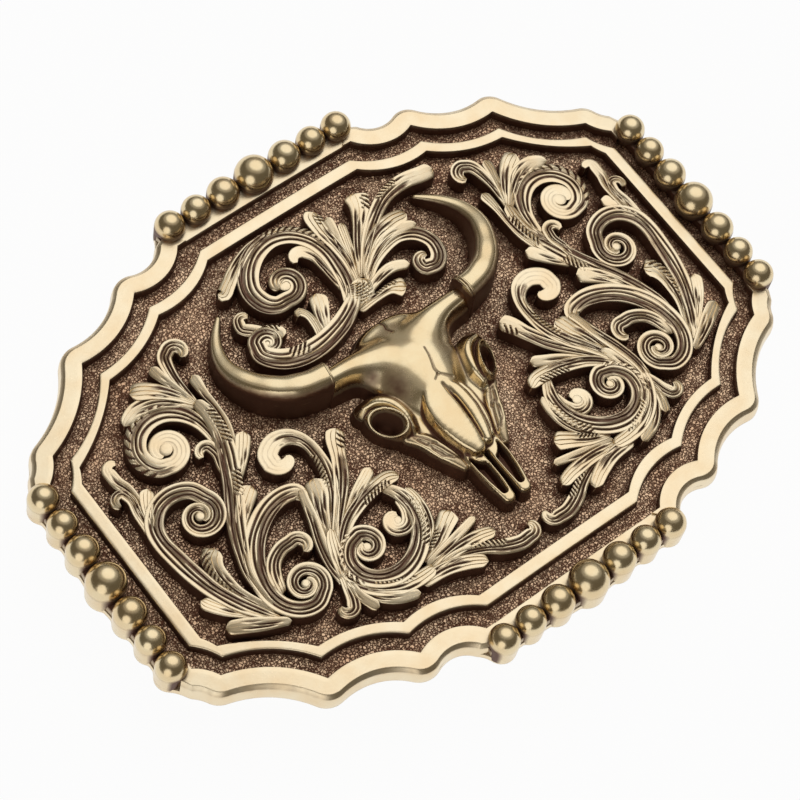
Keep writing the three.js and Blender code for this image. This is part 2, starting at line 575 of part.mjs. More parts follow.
// One length of a ribbon as a straight prism: two rows of points, one to each side of the centre
// line, and a round end where the ribbon itself ends.
function ribbonLength(line, first, last) {
  const left = [];
  const right = [];
  const end = [];
  for (let i = first; i <= last; i += 1) {
    const before = line[Math.max(i - 1, 0)];
    const after = line[Math.min(i + 1, line.length - 1)];
    const heading = Math.atan2(after[1] - before[1], after[0] - before[0]);
    const [x, y, half] = line[i];
    const around = (turn) => [x + half * Math.cos(heading + turn), y + half * Math.sin(heading + turn)];
    addForward(left, around(Math.PI / 2), heading);
    addForward(right, around(-Math.PI / 2), heading);
    if (i === line.length - 1) end.push(around(-Math.PI / 4), around(0), around(Math.PI / 4));
  }
  return prism([...right, ...end, ...left.reverse()], 0, fullHeight);
}

function scrollwork(ribbonShares, signX) {
  const lengths = [];
  ribbonShares.forEach((ribbon) => {
    const line = ribbonLine(ribbon).map(([x, y, half]) => [x * signX, y, half]);
    for (let first = 0; first < line.length - 1; first += lengthPoints - 2) {
      lengths.push(ribbonLength(line, first, Math.min(first + lengthPoints - 1, line.length - 1)));
    }
  });
  return bent(joined(lengths), overlayLevel, scrollTop);
}

// Longhorn skull: stations from the crown to the nose, each as [up in cells, half width as a share
// of the forehead's, height of the middle and height of the edge as shares of the skull's height].
const skullStationShares = [
  [8.2, 0.32, 0.61, 0.45], [7.3, 0.58, 0.86, 0.5], [6, 0.81, 0.96, 0.55], [4.5, 0.95, 1, 0.6],
  [2.8, 1, 0.98, 0.55], [0.8, 0.89, 0.95, 0.5], [-1.2, 0.78, 0.91, 0.5], [-3.5, 0.72, 0.875, 0.5],
  [-5.5, 0.68, 0.86, 0.5], [-6.6, 0.78, 0.86, 0.45], [-9.5, 0.72, 0.84, 0.45],
  [-12, 0.62, 0.79, 0.42], [-13.4, 0.46, 0.73, 0.42], [-14.6, 0.39, 0.66, 0.42],
];
// Across a station: [place as a share of the half width, rise as a share from the edge's height].
const skullProfileShares = [
  [-1, 0], [-0.75, 0.5], [-0.45, 0.85], [-0.2, 1], [0, 1], [0.2, 1], [0.45, 0.85], [0.75, 0.5], [1, 0],
];
const prongShares = [[1.45, -13.5, 1.3], [1.35, -17, 1.1], [1.18, -19.5, 0.85], [1.1, -21.1, 0.35]];
const prongHeightShare = 0.6;
const coreShares = [[5.2, 4.7, 0.84, 2], [10.35, 4.9, 0.89, 1.3]];
const orbitPlaceShares = [7.9, -4.1, 0.72];
const orbitFootShare = 0.45; // height of the wall under an eye socket, of the skull's height
const orbitFacing = new THREE.Vector3(0.75, -0.3, 0.59).normalize();

// A closed body between a grid of top points and the same grid at the level zero.
function reliefSolid(grid) {
  const across = grid[0].length;
  const count = grid.length * across;
  const top = grid.flat();
  const positions = [...top.flat(), ...top.flatMap(([x, y]) => [x, y, 0])];
  const faces = [];
  const quad = (a, b, c, d) => faces.push(a, b, c, a, c, d);
  for (let i = 0; i + 1 < grid.length; i += 1) {
    for (let j = 0; j + 1 < across; j += 1) {
      const a = i * across + j;
      quad(a, a + across, a + across + 1, a + 1);
      quad(a + count, a + 1 + count, a + across + 1 + count, a + across + count);
    }
  }
  for (let i = 0; i + 1 < grid.length; i += 1) {
    const a = i * across;
    const b = a + across - 1;
    quad(a, a + count, a + across + count, a + across);
    quad(b, b + across, b + across + count, b + count);
  }
  for (let j = 0; j + 1 < across; j += 1) {
    const last = (grid.length - 1) * across + j;
    quad(j, j + 1, j + 1 + count, j + count);
    quad(last, last + count, last + 1 + count, last + 1);
  }
  const geometry = new THREE.BufferGeometry();
  geometry.setAttribute("position", new THREE.Float32BufferAttribute(positions, 3));
  geometry.setIndex(faces);
  return solidOf(geometry);
}

// A tapered ridge along points, each as { at, radius }, closed at both ends: a round top, and walls
// that go straight down from its sides to a level under the plate's curve.
function taperedRidge(stations, level) {
  const rounds = hornSides / 2;
  const positions = [];
  stations.forEach(({ at, radius }, i) => {
    const before = stations[Math.max(i - 1, 0)].at;
    const after = stations[Math.min(i + 1, stations.length - 1)].at;
    const along = after.clone().sub(before).normalize();
    const across = new THREE.Vector3(0, 0, 1).cross(along).normalize();
    const up = along.clone().cross(across);
    for (let j = 0; j <= rounds; j += 1) {
      const angle = (Math.PI * j) / rounds;
      const point = at.clone().addScaledVector(across, radius * Math.cos(angle));
      positions.push(...point.addScaledVector(up, radius * Math.sin(angle)).toArray());
    }
    [-radius, radius].forEach((side) => {
      const foot = at.clone().addScaledVector(across, side);
      positions.push(foot.x, foot.y, level - dropAt(foot.x));
    });
  });
  const around = rounds + 3;
  const faces = [];
  for (let i = 0; i + 1 < stations.length; i += 1) {
    for (let j = 0; j < around; j += 1) {
      const a = i * around + j;
      const b = i * around + ((j + 1) % around);
      faces.push(a, b, b + around, a, b + around, a + around);
    }
  }
  const last = (stations.length - 1) * around;
  for (let j = 1; j + 1 < around; j += 1) {
    faces.push(0, j + 1, j);
    faces.push(last, last + j, last + j + 1);
  }
  const geometry = new THREE.BufferGeometry();
  geometry.setAttribute("position", new THREE.Float32BufferAttribute(positions, 3));
  geometry.setIndex(faces);
  return solidOf(geometry);
}

// A point of the relief: across and up in cells, height as a share of the skull's height.
function reliefPoint(across, up, heightShare) {
  const x = across * cellX;
  return new THREE.Vector3(x, up * cellY, fieldLevel + heightShare * skullHeight - dropAt(x));
}

// A cylinder about an eye socket's axis, from its rim inwards and outwards.
function orbit(signX, radius, inwards, outwards) {
  const depth = inwards + outwards;
  const geometry = new THREE.CylinderGeometry(radius, radius, depth, orbitSides);
  const facing = new THREE.Vector3(orbitFacing.x * signX, orbitFacing.y, orbitFacing.z);
  const turn = new THREE.Quaternion().setFromUnitVectors(new THREE.Vector3(0, 1, 0), facing);
  geometry.applyQuaternion(turn);
  const [across, up, heightShare] = orbitPlaceShares;
  const place = reliefPoint(across * signX, up, heightShare);
  place.addScaledVector(facing, outwards - depth / 2);
  geometry.translate(place.x, place.y, place.z);
  return solidOf(geometry);
}

// The wall under an eye socket: the rim's outline seen from above, down to the plate.
function orbitWallUnder(signX) {
  const [across, up] = orbitPlaceShares;
  const heading = Math.atan2(orbitFacing.y, orbitFacing.x * signX);
  const outline = [];
  for (let i = 0; i < orbitSides; i += 1) {
    const angle = (2 * Math.PI * i) / orbitSides;
    const out = orbitRadius * orbitFacing.z * Math.cos(angle);
    const aside = orbitRadius * Math.sin(angle);
    outline.push([
      across * cellX * signX + out * Math.cos(heading) - aside * Math.sin(heading),
      up * cellY + out * Math.sin(heading) + aside * Math.cos(heading),
    ]);
  }
  return bent(prism(outline, 0, fullHeight), overlayLevel, fieldLevel + orbitFootShare * skullHeight);
}

function skull() {
  const grid = skullStationShares.map(([up, widthShare, middleShare, edgeShare]) =>
    skullProfileShares.map(([placeShare, riseShare]) => {
      const x = placeShare * widthShare * skullHalfWidth;
      const heightShare = edgeShare + (middleShare - edgeShare) * riseShare;
      return [x, up * cellY, fieldLevel + heightShare * skullHeight - dropAt(x)];
    }),
  );
  let whole = reliefSolid(grid);
  [-1, 1].forEach((signX) => {
    const line = prongShares.map(([x, y, half]) => [x * cellX * signX, y * cellY, half * cell]);
    const prong = ribbonLength(line, 0, line.length - 1);
    whole = whole.add(bent(prong, overlayLevel, fieldLevel + prongHeightShare * skullHeight));
    const core = coreShares.map(([across, up, heightShare, radius]) => ({
      at: reliefPoint(across * signX, up, heightShare),
      radius: radius * cell,
    }));
    whole = whole.add(taperedRidge(core, overlayLevel));
    whole = whole.add(orbitWallUnder(signX));
    whole = whole.add(orbit(signX, orbitRadius, orbitRadius + orbitDepth, 0));
    whole = whole.subtract(orbit(signX, orbitRadius - orbitWall, orbitDepth, orbitDepth));
  });
  return bent(whole, overlayLevel, fullHeight);
}

// Horns: [across and up in cells, height as a share of the skull's height, radius as a share of the
// base radius].
const hornShares = [
  [10.65, 4.95, 0.89, 0.97], [13.13, 5.35, 0.86, 1], [15.92, 6.6, 0.8, 0.97],
  [18.31, 9.2, 0.7, 0.88], [19.7, 12.4, 0.58, 0.74], [19.6, 15.4, 0.45, 0.58],
  [18.11, 18.3, 0.32, 0.4], [15.52, 21.1, 0.16, 0.12],
];

function horn(signX) {
  const stations = hornShares.map(([across, up, heightShare, radiusShare]) => ({
    at: reliefPoint(across * signX, up, heightShare),
    radius: radiusShare * hornBaseRadius,
  }));
  const along = stations[1].at.clone().sub(stations[0].at).normalize();
  const ring = [0, 1].map((end) => ({
    at: stations[0].at.clone().addScaledVector(along, end * hornRingLength),
    radius: hornRingRadius,
  }));
  return taperedRidge(stations, overlayLevel).add(taperedRidge(ring, overlayLevel));
}

// Strap bail, hinge barrel and hook

const boreRadius = pinRadius + pinPlay;
const barrelRadius = boreRadius + barrelWall;
const pivotX = -pivotOffset;
const pivotZ = backHeight - dropAt(pivotOffset) - solderFilm - barrelRadius;
const barOutside = bailReach + barWidth / 2;
const barEndX = pivotOffset + barOutside;
const stopLevel = backHeight - dropAt(barEndX) - stopGap - barThickness / 2;
const bailTilt = Math.asin((pivotZ - stopLevel) / barOutside);
const armInside = strapWidth / 2;
const armOutside = armInside + barWidth;

function acrossCylinder(radius, length, y) {
  const geometry = new THREE.CylinderGeometry(radius, radius, length, boreSides);
  geometry.translate(pivotX, y, pivotZ);
  return solidOf(geometry);
}

function hingeBarrel() {
  const length = 2 * (armInside - sideGap);
  const foot = new THREE.BoxGeometry(2 * barrelRadius, length, backHeight - pivotZ);
  foot.translate(pivotX, 0, (backHeight + pivotZ) / 2);
  const body = acrossCylinder(barrelRadius, length, 0).add(solidOf(foot));
  const bored = body.subtract(acrossCylinder(boreRadius, length + barWidth, 0));
  return bent(bored, -fullHeight, backHeight - solderFilm);
}

// The bail's outline in its own plane: x outwards from the axis, y along the axis.
function bailOutline() {
  const shape = new THREE.Shape();
  const end = barThickness / 2;
  const outside = barOutside - bailEdge;
  const inside = bailReach - barWidth / 2 + bailEdge;
  const armOut = armOutside - bailEdge;
  const armIn = armInside + bailEdge;
  const innerCorner = bailCorner - barWidth + 2 * bailEdge;
  shape.moveTo(-end, -armOut);
  shape.lineTo(outside - bailCorner, -armOut);
  shape.absarc(outside - bailCorner, bailCorner - armOut, bailCorner, -Math.PI / 2, 0, false);
  shape.lineTo(outside, armOut - bailCorner);
  shape.absarc(outside - bailCorner, armOut - bailCorner, bailCorner, 0, Math.PI / 2, false);
  shape.lineTo(-end, armOut);
  shape.lineTo(-end, armIn);
  shape.lineTo(inside - innerCorner, armIn);
  shape.absarc(inside - innerCorner, armIn - innerCorner, innerCorner, Math.PI / 2, 0, true);
  shape.lineTo(inside, innerCorner - armIn);
  shape.absarc(inside - innerCorner, innerCorner - armIn, innerCorner, 0, -Math.PI / 2, true);
  shape.lineTo(-end, -armIn);
  return shape;
}

function bail() {
  const loop = new THREE.ExtrudeGeometry(bailOutline(), {
    depth: barThickness - 2 * bailEdge,
    bevelEnabled: true,
    bevelSize: bailEdge,
    bevelThickness: bailEdge,
    bevelSegments: 1,
    curveSegments: arcSteps,
  });
  loop.translate(0, 0, bailEdge - barThickness / 2);
  loop.rotateZ(Math.PI);
  loop.rotateY(-bailTilt);
  loop.translate(pivotX, 0, pivotZ);
  const pinY = armInside + (barWidth / 2 - pinLength) / 2;
  const fullPin = pinLength + barWidth / 2;
  const pins = [-1, 1].map((signY) => acrossCylinder(pinRadius, fullPin, signY * pinY));
  return joined([solidOf(loop), ...pins]);
}

// The foot that holds the hook, which follows the plate's curved back.
function hookFoot() {
  const halfLength = footLength / 2;
  const halfWidth = footWidth / 2;
  const centre = hookOffset;
  const outline = [
    [centre - halfLength, -halfWidth], [centre + halfLength, -halfWidth],
    [centre + halfLength, halfWidth], [centre - halfLength, halfWidth],
  ];
  const top = backHeight - solderFilm;
  return bent(prism(outline, 0, fullHeight), top - footThickness, top);
}

// The hook's side outline: a post down from the foot, a round bend, and a tip towards the bail.
function hook() {
  const shape = new THREE.Shape();
  const right = postThickness;
  const bend = postThickness;
  const inner = tipThickness / 2;
  const top = throat + tipThickness;
  const nose = tipThickness / 2;
  shape.moveTo(0, top);
  shape.lineTo(0, tipThickness + inner);
  shape.absarc(-inner, tipThickness + inner, inner, 0, -Math.PI / 2, true);
  shape.lineTo(nose - tipReach, tipThickness);
  shape.absarc(nose - tipReach, nose, nose, Math.PI / 2, (3 * Math.PI) / 2, false);
  shape.lineTo(right - bend, 0);
  shape.absarc(right - bend, bend, bend, -Math.PI / 2, 0, false);
  shape.lineTo(right, top);
  const geometry = new THREE.ExtrudeGeometry(shape, {
    depth: hookWidth,
    bevelEnabled: false,
    curveSegments: arcSteps,
  });
  geometry.translate(hookOffset - postThickness / 2, 0, -hookWidth / 2);
  geometry.rotateX(Math.PI / 2);
  return bent(solidOf(geometry), -fullHeight, backHeight - 2 * solderFilm - footThickness);
}

// Materials

const satinGold = new THREE.MeshStandardMaterial({ color: 0xd9c49a, roughness: 0.35, metalness: 0.9 });
const polished = new THREE.MeshStandardMaterial({ color: 0x9a8652, roughness: 0.12, metalness: 1 });
const stippled = new THREE.MeshStandardMaterial({ color: 0x8a6a54, roughness: 0.7, metalness: 0.7 });
const plain = new THREE.MeshStandardMaterial({ color: 0xb89b62, roughness: 0.3, metalness: 0.95 });

const buckle = new THREE.Group();
buckle.name = "belt_buckle";

function place(name, geometry, material) {
  const mesh = new THREE.Mesh(geometry, material);
  mesh.name = name;
  buckle.add(mesh);
  return mesh;
}

place("base_plate", geometryOf(basePlate()), stippled);
rows.forEach((row) => {
  place("bead_rail_" + row.side, geometryOf(beadRail(row)), satinGold);
  beads.forEach(({ offset, radius }, i) => {
    const [x, y] = rowPoint(row, offset, row.beadLine);
    const bead = place("bead_" + row.side + "_" + (i + 1), beadGeometry(radius), polished);
    bead.position.set(x, y, beadLevel - dropAt(x));
    bead.rotation.y = Math.atan(x / bendRadius);
  });
});
[["top_left", -1, 1], ["top_right", 1, 1], ["bottom_left", -1, -1], ["bottom_right", 1, -1]].forEach(
  ([name, signX, signY]) => {
    place("outer_rim_" + name, geometryOf(outerRim(signX, signY)), satinGold);
  },
);
place("inner_rim", geometryOf(innerRim()), satinGold);
place("scroll_left", geometryOf(scrollwork(sideScrollShares, 1)), satinGold);
place("scroll_right", geometryOf(scrollwork(sideScrollShares, -1)), satinGold);
place("scroll_crown", geometryOf(scrollwork(crownScrollShares, 1)), satinGold);
place("skull", geometryOf(skull()), polished);
place("horn_left", geometryOf(horn(-1)), polished);
place("horn_right", geometryOf(horn(1)), polished);
place("hinge_barrel", geometryOf(hingeBarrel()), plain);
place("bail", geometryOf(bail()), plain);
place("hook_foot", geometryOf(hookFoot()), plain);
place("hook", geometryOf(hook()), plain);

export default buckle;
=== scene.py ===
"""Western belt buckle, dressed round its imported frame.

Every shape is worked out in millimetres as a whole numpy array, laid on the plate's curve, and put
into a mesh in metres. Heights are measured up from the field, the plate's stippled floor.
"""

import bpy
import numpy as np
from bpy.props import FloatProperty, FloatVectorProperty, PointerProperty
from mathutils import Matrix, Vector


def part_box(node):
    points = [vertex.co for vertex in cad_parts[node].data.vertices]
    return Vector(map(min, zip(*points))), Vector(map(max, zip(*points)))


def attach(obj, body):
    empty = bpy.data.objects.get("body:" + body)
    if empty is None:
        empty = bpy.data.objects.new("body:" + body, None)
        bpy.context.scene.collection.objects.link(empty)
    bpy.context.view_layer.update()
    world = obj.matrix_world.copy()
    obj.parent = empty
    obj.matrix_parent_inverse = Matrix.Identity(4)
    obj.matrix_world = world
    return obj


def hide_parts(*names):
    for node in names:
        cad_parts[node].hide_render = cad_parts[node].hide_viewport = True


bl_info = {
    "name": "Western Belt Buckle",
    "version": (1, 0, 0),
    "blender": (4, 5, 0),
    "location": "View3D > Sidebar > Buckle",
    "description": "Builds a scrolled western belt buckle round its packed frame",
    "category": "Add Mesh",
}

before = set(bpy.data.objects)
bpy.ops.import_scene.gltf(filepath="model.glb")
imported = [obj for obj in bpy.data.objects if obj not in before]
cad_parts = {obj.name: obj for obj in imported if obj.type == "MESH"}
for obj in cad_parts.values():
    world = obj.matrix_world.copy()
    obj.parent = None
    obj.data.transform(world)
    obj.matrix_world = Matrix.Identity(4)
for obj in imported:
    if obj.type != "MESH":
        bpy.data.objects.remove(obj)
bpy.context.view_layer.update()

MM = 0.001
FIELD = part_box("base_plate")[1].z / MM
TAU = 2 * np.pi


# Sizes and colours


def length(name, description, default):
    """A size in metres."""
    return FloatProperty(name=name, description=description, default=default, min=0.0,
                         unit="LENGTH", precision=5)


def colour(name, description, default):
    """A colour as its red, green and blue shares."""
    return FloatVectorProperty(name=name, description=description, default=default, size=3,
                               min=0.0, max=1.0, subtype="COLOR")


class BuckleSizes(bpy.types.PropertyGroup):
    """Sizes of the plate, its rims, beads and relief."""
    bend_radius: length("Bend radius", "The plate's curve over its length", 0.351)
    plate_thickness: length("Plate thickness", "Floor to back", 0.001)
    plate_flange: length("Plate flange", "The plate's edge beyond the rims", 0.0003)
    edge_wave: length("Edge wave", "Depth of the waves in the edge along the beads", 0.0007)
    field_half_length: length("Field half length", "Middle to the inner rim's side bars", 0.0425)
    field_half_height: length("Field half height", "Middle to the inner rim's top bar", 0.02815)
    inner_rim_width: length("Inner rim width", "Across its straight bars", 0.00168)
    outer_rim_width: length("Outer rim width", "Across its scalloped bands", 0.0027)
    rim_height: length("Rim height", "Field to the top of a rim", 0.0015)
    top_channel: length("Top channel", "Between the rims at the top and bottom", 0.00222)
    side_channel: length("Side channel", "Between the rims at the ends", 0.00142)
    rail_height: length("Rail height", "Field to the top of a bead rail", 0.0012)
    scroll_height: length("Scroll height", "Field to the top of the scrollwork", 0.0024)
    groove_depth: length("Groove depth", "Depth of the engraved lines", 0.0002)
    grain: length("Stipple grain", "Size of the stippled floor's grain", 0.00042)


class BuckleColours(bpy.types.PropertyGroup):
    """Colours of the metal finishes and the floor."""
    gold: colour("Gold", "Tops of the rims and the scrollwork", (0.87, 0.745, 0.53))
    polish: colour("Polished gold", "Beads, skull and horns", (0.78, 0.65, 0.42))
    # This dark colour is both the antiquing in the recesses and the painted shade laid on with it.
    patina_and_shade: colour("Patina", "Antiquing in the recesses", (0.13, 0.057, 0.033))
    stipple: colour("Stipple", "Grain of the floor", (0.84, 0.61, 0.41))
    plain: colour("Plain metal", "Back, bail and hook", (0.58, 0.45, 0.24))
    backdrop: colour("Backdrop", "The floor the buckle lies on", (0.95, 0.95, 0.95))


def mm(value):
    """A length in metres as millimetres."""
    return value / MM


# Mesh building


def grid_quads(rows, columns, close_rows=False, close_columns=False, first=0):
    """Quads of a grid of points numbered row by row; closing joins the last row or column to the
    first."""
    i = np.arange(rows if close_rows else rows - 1)
    j = np.arange(columns if close_columns else columns - 1)
    i, j = np.meshgrid(i, j, indexing="ij")
    below = (i + 1) % rows
    right = (j + 1) % columns
    quads = np.stack([i * columns + j, i * columns + right, below * columns + right,
                      below * columns + j], -1)
    return quads.reshape(-1, 4) + first


def enclosed(points, faces):
    """The volume inside closed faces: the sum of the pyramids from the first point to each triangle
    of each face; below zero where the faces look inwards."""
    points = points - points[0]
    total = 0.0
    for group in faces:
        a = points[group[:, 0]]
        for i in range(1, group.shape[1] - 1):
            total += np.einsum("ij,ij->", a, np.cross(points[group[:, i]], points[group[:, i + 1]]))
    return total / 6


def ring_faces(rows, count):
    """Faces of a body of rings of count points, numbered ring by ring, with its two poles last."""
    around = np.arange(count)
    last = (rows - 1) * count
    first_pole = np.stack([np.full(count, rows * count), np.roll(around, -1), around], -1)
    last_pole = np.stack([np.full(count, rows * count + 1), around + last,
                          np.roll(around, -1) + last], -1)
    return [grid_quads(rows, count, False, True), first_pole, last_pole]


class Shape:
    """Points, faces and the patina and painted shade at each point, gathered before they become one
    mesh.
    """

    def __init__(self):
        self.points, self.faces, self.patina_and_shade, self.count = [], [], [], 0

    def add(self, points, faces, patina_and_shade=0.0):
        """A closed body: its faces are turned so that they look outwards."""
        points = np.asarray(points, float).reshape(-1, 3)
        faces = [np.asarray(group, int) for group in faces]
        if enclosed(points, faces) < 0:
            faces = [group[:, ::-1] for group in faces]
        self.points.append(points)
        self.faces += [group + self.count for group in faces]
        self.patina_and_shade.append(np.broadcast_to(np.ravel(patina_and_shade), len(points)).astype(float))
        self.count += len(points)

    def add_grid(self, grid, patina_and_shade=0.0, close_rows=False):
        """A tube from a grid of points: its columns close, and its rows close or end in a face."""
        rows, columns = grid.shape[:2]
        faces = [grid_quads(rows, columns, close_rows, True)]
        if not close_rows:
            first = np.arange(columns)[None]
            faces += [first[:, ::-1], (rows - 1) * columns + first]
        self.add(grid, faces, patina_and_shade)


def bend(points, radius):
    """Lays points on the plate's curve: each sinks by x squared over twice the bend radius."""
    points = np.array(points, float)
    points[..., 2] += FIELD - points[..., 0] ** 2 / (2 * radius)
    return points


# For make_piece's last number: no edge of the piece is left sharp.
ALL_SMOOTH = 180.0


def make_piece(name, shape, finish, body, nodes, sharp=35.0):
    """One object from a shape in millimetres, smooth but for edges over an angle, on its body."""
    points = np.concatenate(shape.points) * MM
    mesh = bpy.data.meshes.new(name)
    mesh.vertices.add(len(points))
    mesh.vertices.foreach_set("co", points.astype(np.float32).ravel())
    loops = np.concatenate([f.ravel() for f in shape.faces])
    totals = np.concatenate([np.full(len(f), f.shape[1]) for f in shape.faces])
    starts = np.concatenate([[0], np.cumsum(totals)[:-1]])
    mesh.loops.add(len(loops))
    mesh.loops.foreach_set("vertex_index", loops.astype(np.int32))
    mesh.polygons.add(len(totals))
    mesh.polygons.foreach_set("loop_start", starts.astype(np.int32))
    mesh.update(calc_edges=True)
    mesh.validate()
    # One value at each point for its patina and its painted shade, which darkens its finish.
    attribute = mesh.attributes.new("patina_and_shade", "FLOAT", "POINT")
    attribute.data.foreach_set("value", np.concatenate(shape.patina_and_shade).astype(np.float32))
    mesh.shade_smooth()
    mesh.set_sharp_from_angle(angle=np.radians(sharp))
    mesh.materials.append(finish_named(finish))
    piece = bpy.data.objects.new(name, mesh)
    bpy.context.scene.collection.objects.link(piece)
    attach(piece, body)
    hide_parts(*nodes)


# Curves


NOISE_CELLS = 512


def value_noise(x, y, cell, seed):
    """Smooth random heights from -1 to 1: random values at the corners of square cells, blended
    across each cell by a smooth step; the pattern repeats after NOISE_CELLS cells."""
    table = np.random.default_rng(seed).uniform(-1, 1, (NOISE_CELLS, NOISE_CELLS))
    u, v = x / cell, y / cell
    i, j = np.floor(u).astype(int), np.floor(v).astype(int)
    s, t = u - i, v - j
    s, t = s * s * (3 - 2 * s), t * t * (3 - 2 * t)
    i, j, i_next, j_next = (index % NOISE_CELLS for index in (i, j, i + 1, j + 1))
    here = table[i, j] * (1 - s) + table[i_next, j] * s
    beyond = table[i, j_next] * (1 - s) + table[i_next, j_next] * s
    return here * (1 - t) + beyond * t


def on_circle(angle):
    """Points of the unit circle at angles, as [x, y]."""
    return np.stack([np.cos(angle), np.sin(angle)], -1)


def lifted(flat, height):
    """Points [x, y] with their heights, as [x, y, height]."""
    return np.concatenate([flat, np.broadcast_to(height, flat.shape[:-1])[..., None]], -1)


def even(points, count):
    """A line of points, all columns, resampled to count points evenly spaced along its length."""
    points = np.asarray(points, float)
    along = np.concatenate([[0], np.cumsum(np.hypot(*np.diff(points[:, :2], axis=0).T))])
    at = np.linspace(0, along[-1], count)
    return np.stack([np.interp(at, along, column) for column in points.T], -1)


def even_loop(line, count):
    """A closed line resampled to count points evenly spaced round it."""
    return even(np.concatenate([line, line[:1]]), count + 1)[:-1]


def smooth(points, steps):
    """A smooth curve through points, in all columns, with steps points for each stretch: cubic
    pieces whose slope at a point follows its two neighbours."""
    p = np.asarray(points, float)
    p = np.concatenate([[2 * p[0] - p[1]], p, [2 * p[-1] - p[-2]]])
    t = np.linspace(0, 1, steps, endpoint=False)[:, None]
    a, b, c, d = p[:-3, None], p[1:-2, None], p[2:-1, None], p[3:, None]
    q = 0.5 * (2 * b + (c - a) * t + (2 * a - 5 * b + 4 * c - d) * t ** 2
               + (3 * b - a - 3 * c + d) * t ** 3)
    return np.concatenate([q.reshape(-1, p.shape[1]), p[-2:-1]])


def across(line):
    """Unit vectors to the left of a line of [x, y] points."""
    step = np.gradient(line[:, :2], axis=0)
    step /= np.maximum(np.hypot(step[:, 0], step[:, 1]), 1e-9)[:, None]
    return np.stack([-step[:, 1], step[:, 0]], -1)


def sag_arc(a, b, sag_share, count):
    """Points of the circular arc from a to b that sags to the right by a share of its chord, with
    its centre and radius."""
    a, b = np.asarray(a, float), np.asarray(b, float)
    chord = np.hypot(*(b - a))
    right = np.array([b[1] - a[1], a[0] - b[0]]) / chord
    sag = chord * sag_share
    radius = chord ** 2 / (8 * sag) + sag / 2
    half = np.arcsin(chord / 2 / radius)
    centre = (a + b) / 2 + right * (sag - radius)
    angle = np.arctan2(*(a - centre)[::-1]) + np.linspace(0, 2 * half, count)
    return centre + radius * on_circle(angle), centre, radius


# A corner's cusps as shares of its way along the top and down the side, and how far the arc between
# two cusps sags as a share of its chord: for the outer rim's inner line and the inner rim's two.
OUTER_CUSP_SHARES = [[0, 0], [0.266, 0.133], [0.611, 0.371], [0.927, 0.838], [1, 1]]
OUTER_SAG_SHARES = [0.178, 0.129, 0.094, 0.07]
RING_OUTSIDE_SHARES = [[0, 0], [0.309, 0.159], [0.631, 0.383], [0.926, 0.799], [1, 1]]
RING_OUTSIDE_SAG_SHARES = [0.117, 0.105, 0.09, 0.06]
RING_INSIDE_SHARES = [[0, 0], [0.315, 0.172], [0.649, 0.4075], [0.967, 0.8746], [1, 1]]
RING_INSIDE_SAG_SHARES = [0.116, 0.087, 0.057, 0.03]
# Half of the straight stretch at the top and at the side: for the outer rims and the inner rim.
TOP_CORNER, SIDE_CORNER = 14.0, 14.8
TOP_BAR, SIDE_BAR = 12.1, 12.4


def facing(centre, cusp):
    """The angle of the way from a cusp to its arc's centre."""
    return np.arctan2(centre[1] - cusp[1], centre[0] - cusp[0])


def corner_line(start, end, cusp_shares, sag_shares, width, count):
    """One scalloped corner from the top to the side, moved outwards by a width: arcs between cusps,
    each with half of the round corner at either cusp, and count points for each arc."""
    cusps = np.asarray(start) + (np.asarray(end) - start) * np.asarray(cusp_shares)
    arcs = [sag_arc(a, b, s, 24) for a, b, s in zip(cusps[:-1], cusps[1:], sag_shares)]
    pieces = []
    for i, (points, centre, radius) in enumerate(arcs):
        moved = [points + (centre - points) / radius * width]
        if i > 0 and width > 0:
            here, before = facing(centre, cusps[i]), facing(arcs[i - 1][1], cusps[i])
            turn = np.linspace((here + before) / 2, here, 8, endpoint=False)
            moved.insert(0, cusps[i] + width * on_circle(turn))
        if i + 1 < len(arcs) and width > 0:
            here, after = facing(centre, cusps[i + 1]), facing(arcs[i + 1][1], cusps[i + 1])
            turn = np.linspace(here, (here + after) / 2, 9)[1:]
            moved.append(cusps[i + 1] + width * on_circle(turn))
        pieces.append(even(np.concatenate(moved), count + 1)[i > 0:])
    return np.concatenate(pieces)


def loop_line(quarter, bar_count):
    """A closed line, clockwise from the top bar, from one corner: the corner, its mirrored copies
    and straight bars of bar_count points between them."""
    bottom_right = (quarter * [1, -1])[::-1]
    bottom_left = quarter * [-1, -1]
    top_left = (quarter * [-1, 1])[::-1]
    corners = [quarter, bottom_right, bottom_left, top_left]
    pieces = []
    for here, after in zip(corners, corners[1:] + corners[:1]):
        pieces += [here, np.linspace(here[-1], after[0], bar_count + 2)[1:-1]]
    return np.concatenate(pieces)


def swept(inner, outer, profile):
    """A band between two lines of equal count: each profile point is [share across, extra offset
    outwards, height], so a row of the grid is the band's section."""
    way = outer - inner
    unit = way / np.maximum(np.hypot(way[:, 0], way[:, 1]), 1e-9)[:, None]
    share, extra, height = np.asarray(profile, float).T
    flat = (inner[:, None] + way[:, None] * share[None, :, None]
            + unit[:, None] * extra[None, :, None])
    return lifted(flat, height)


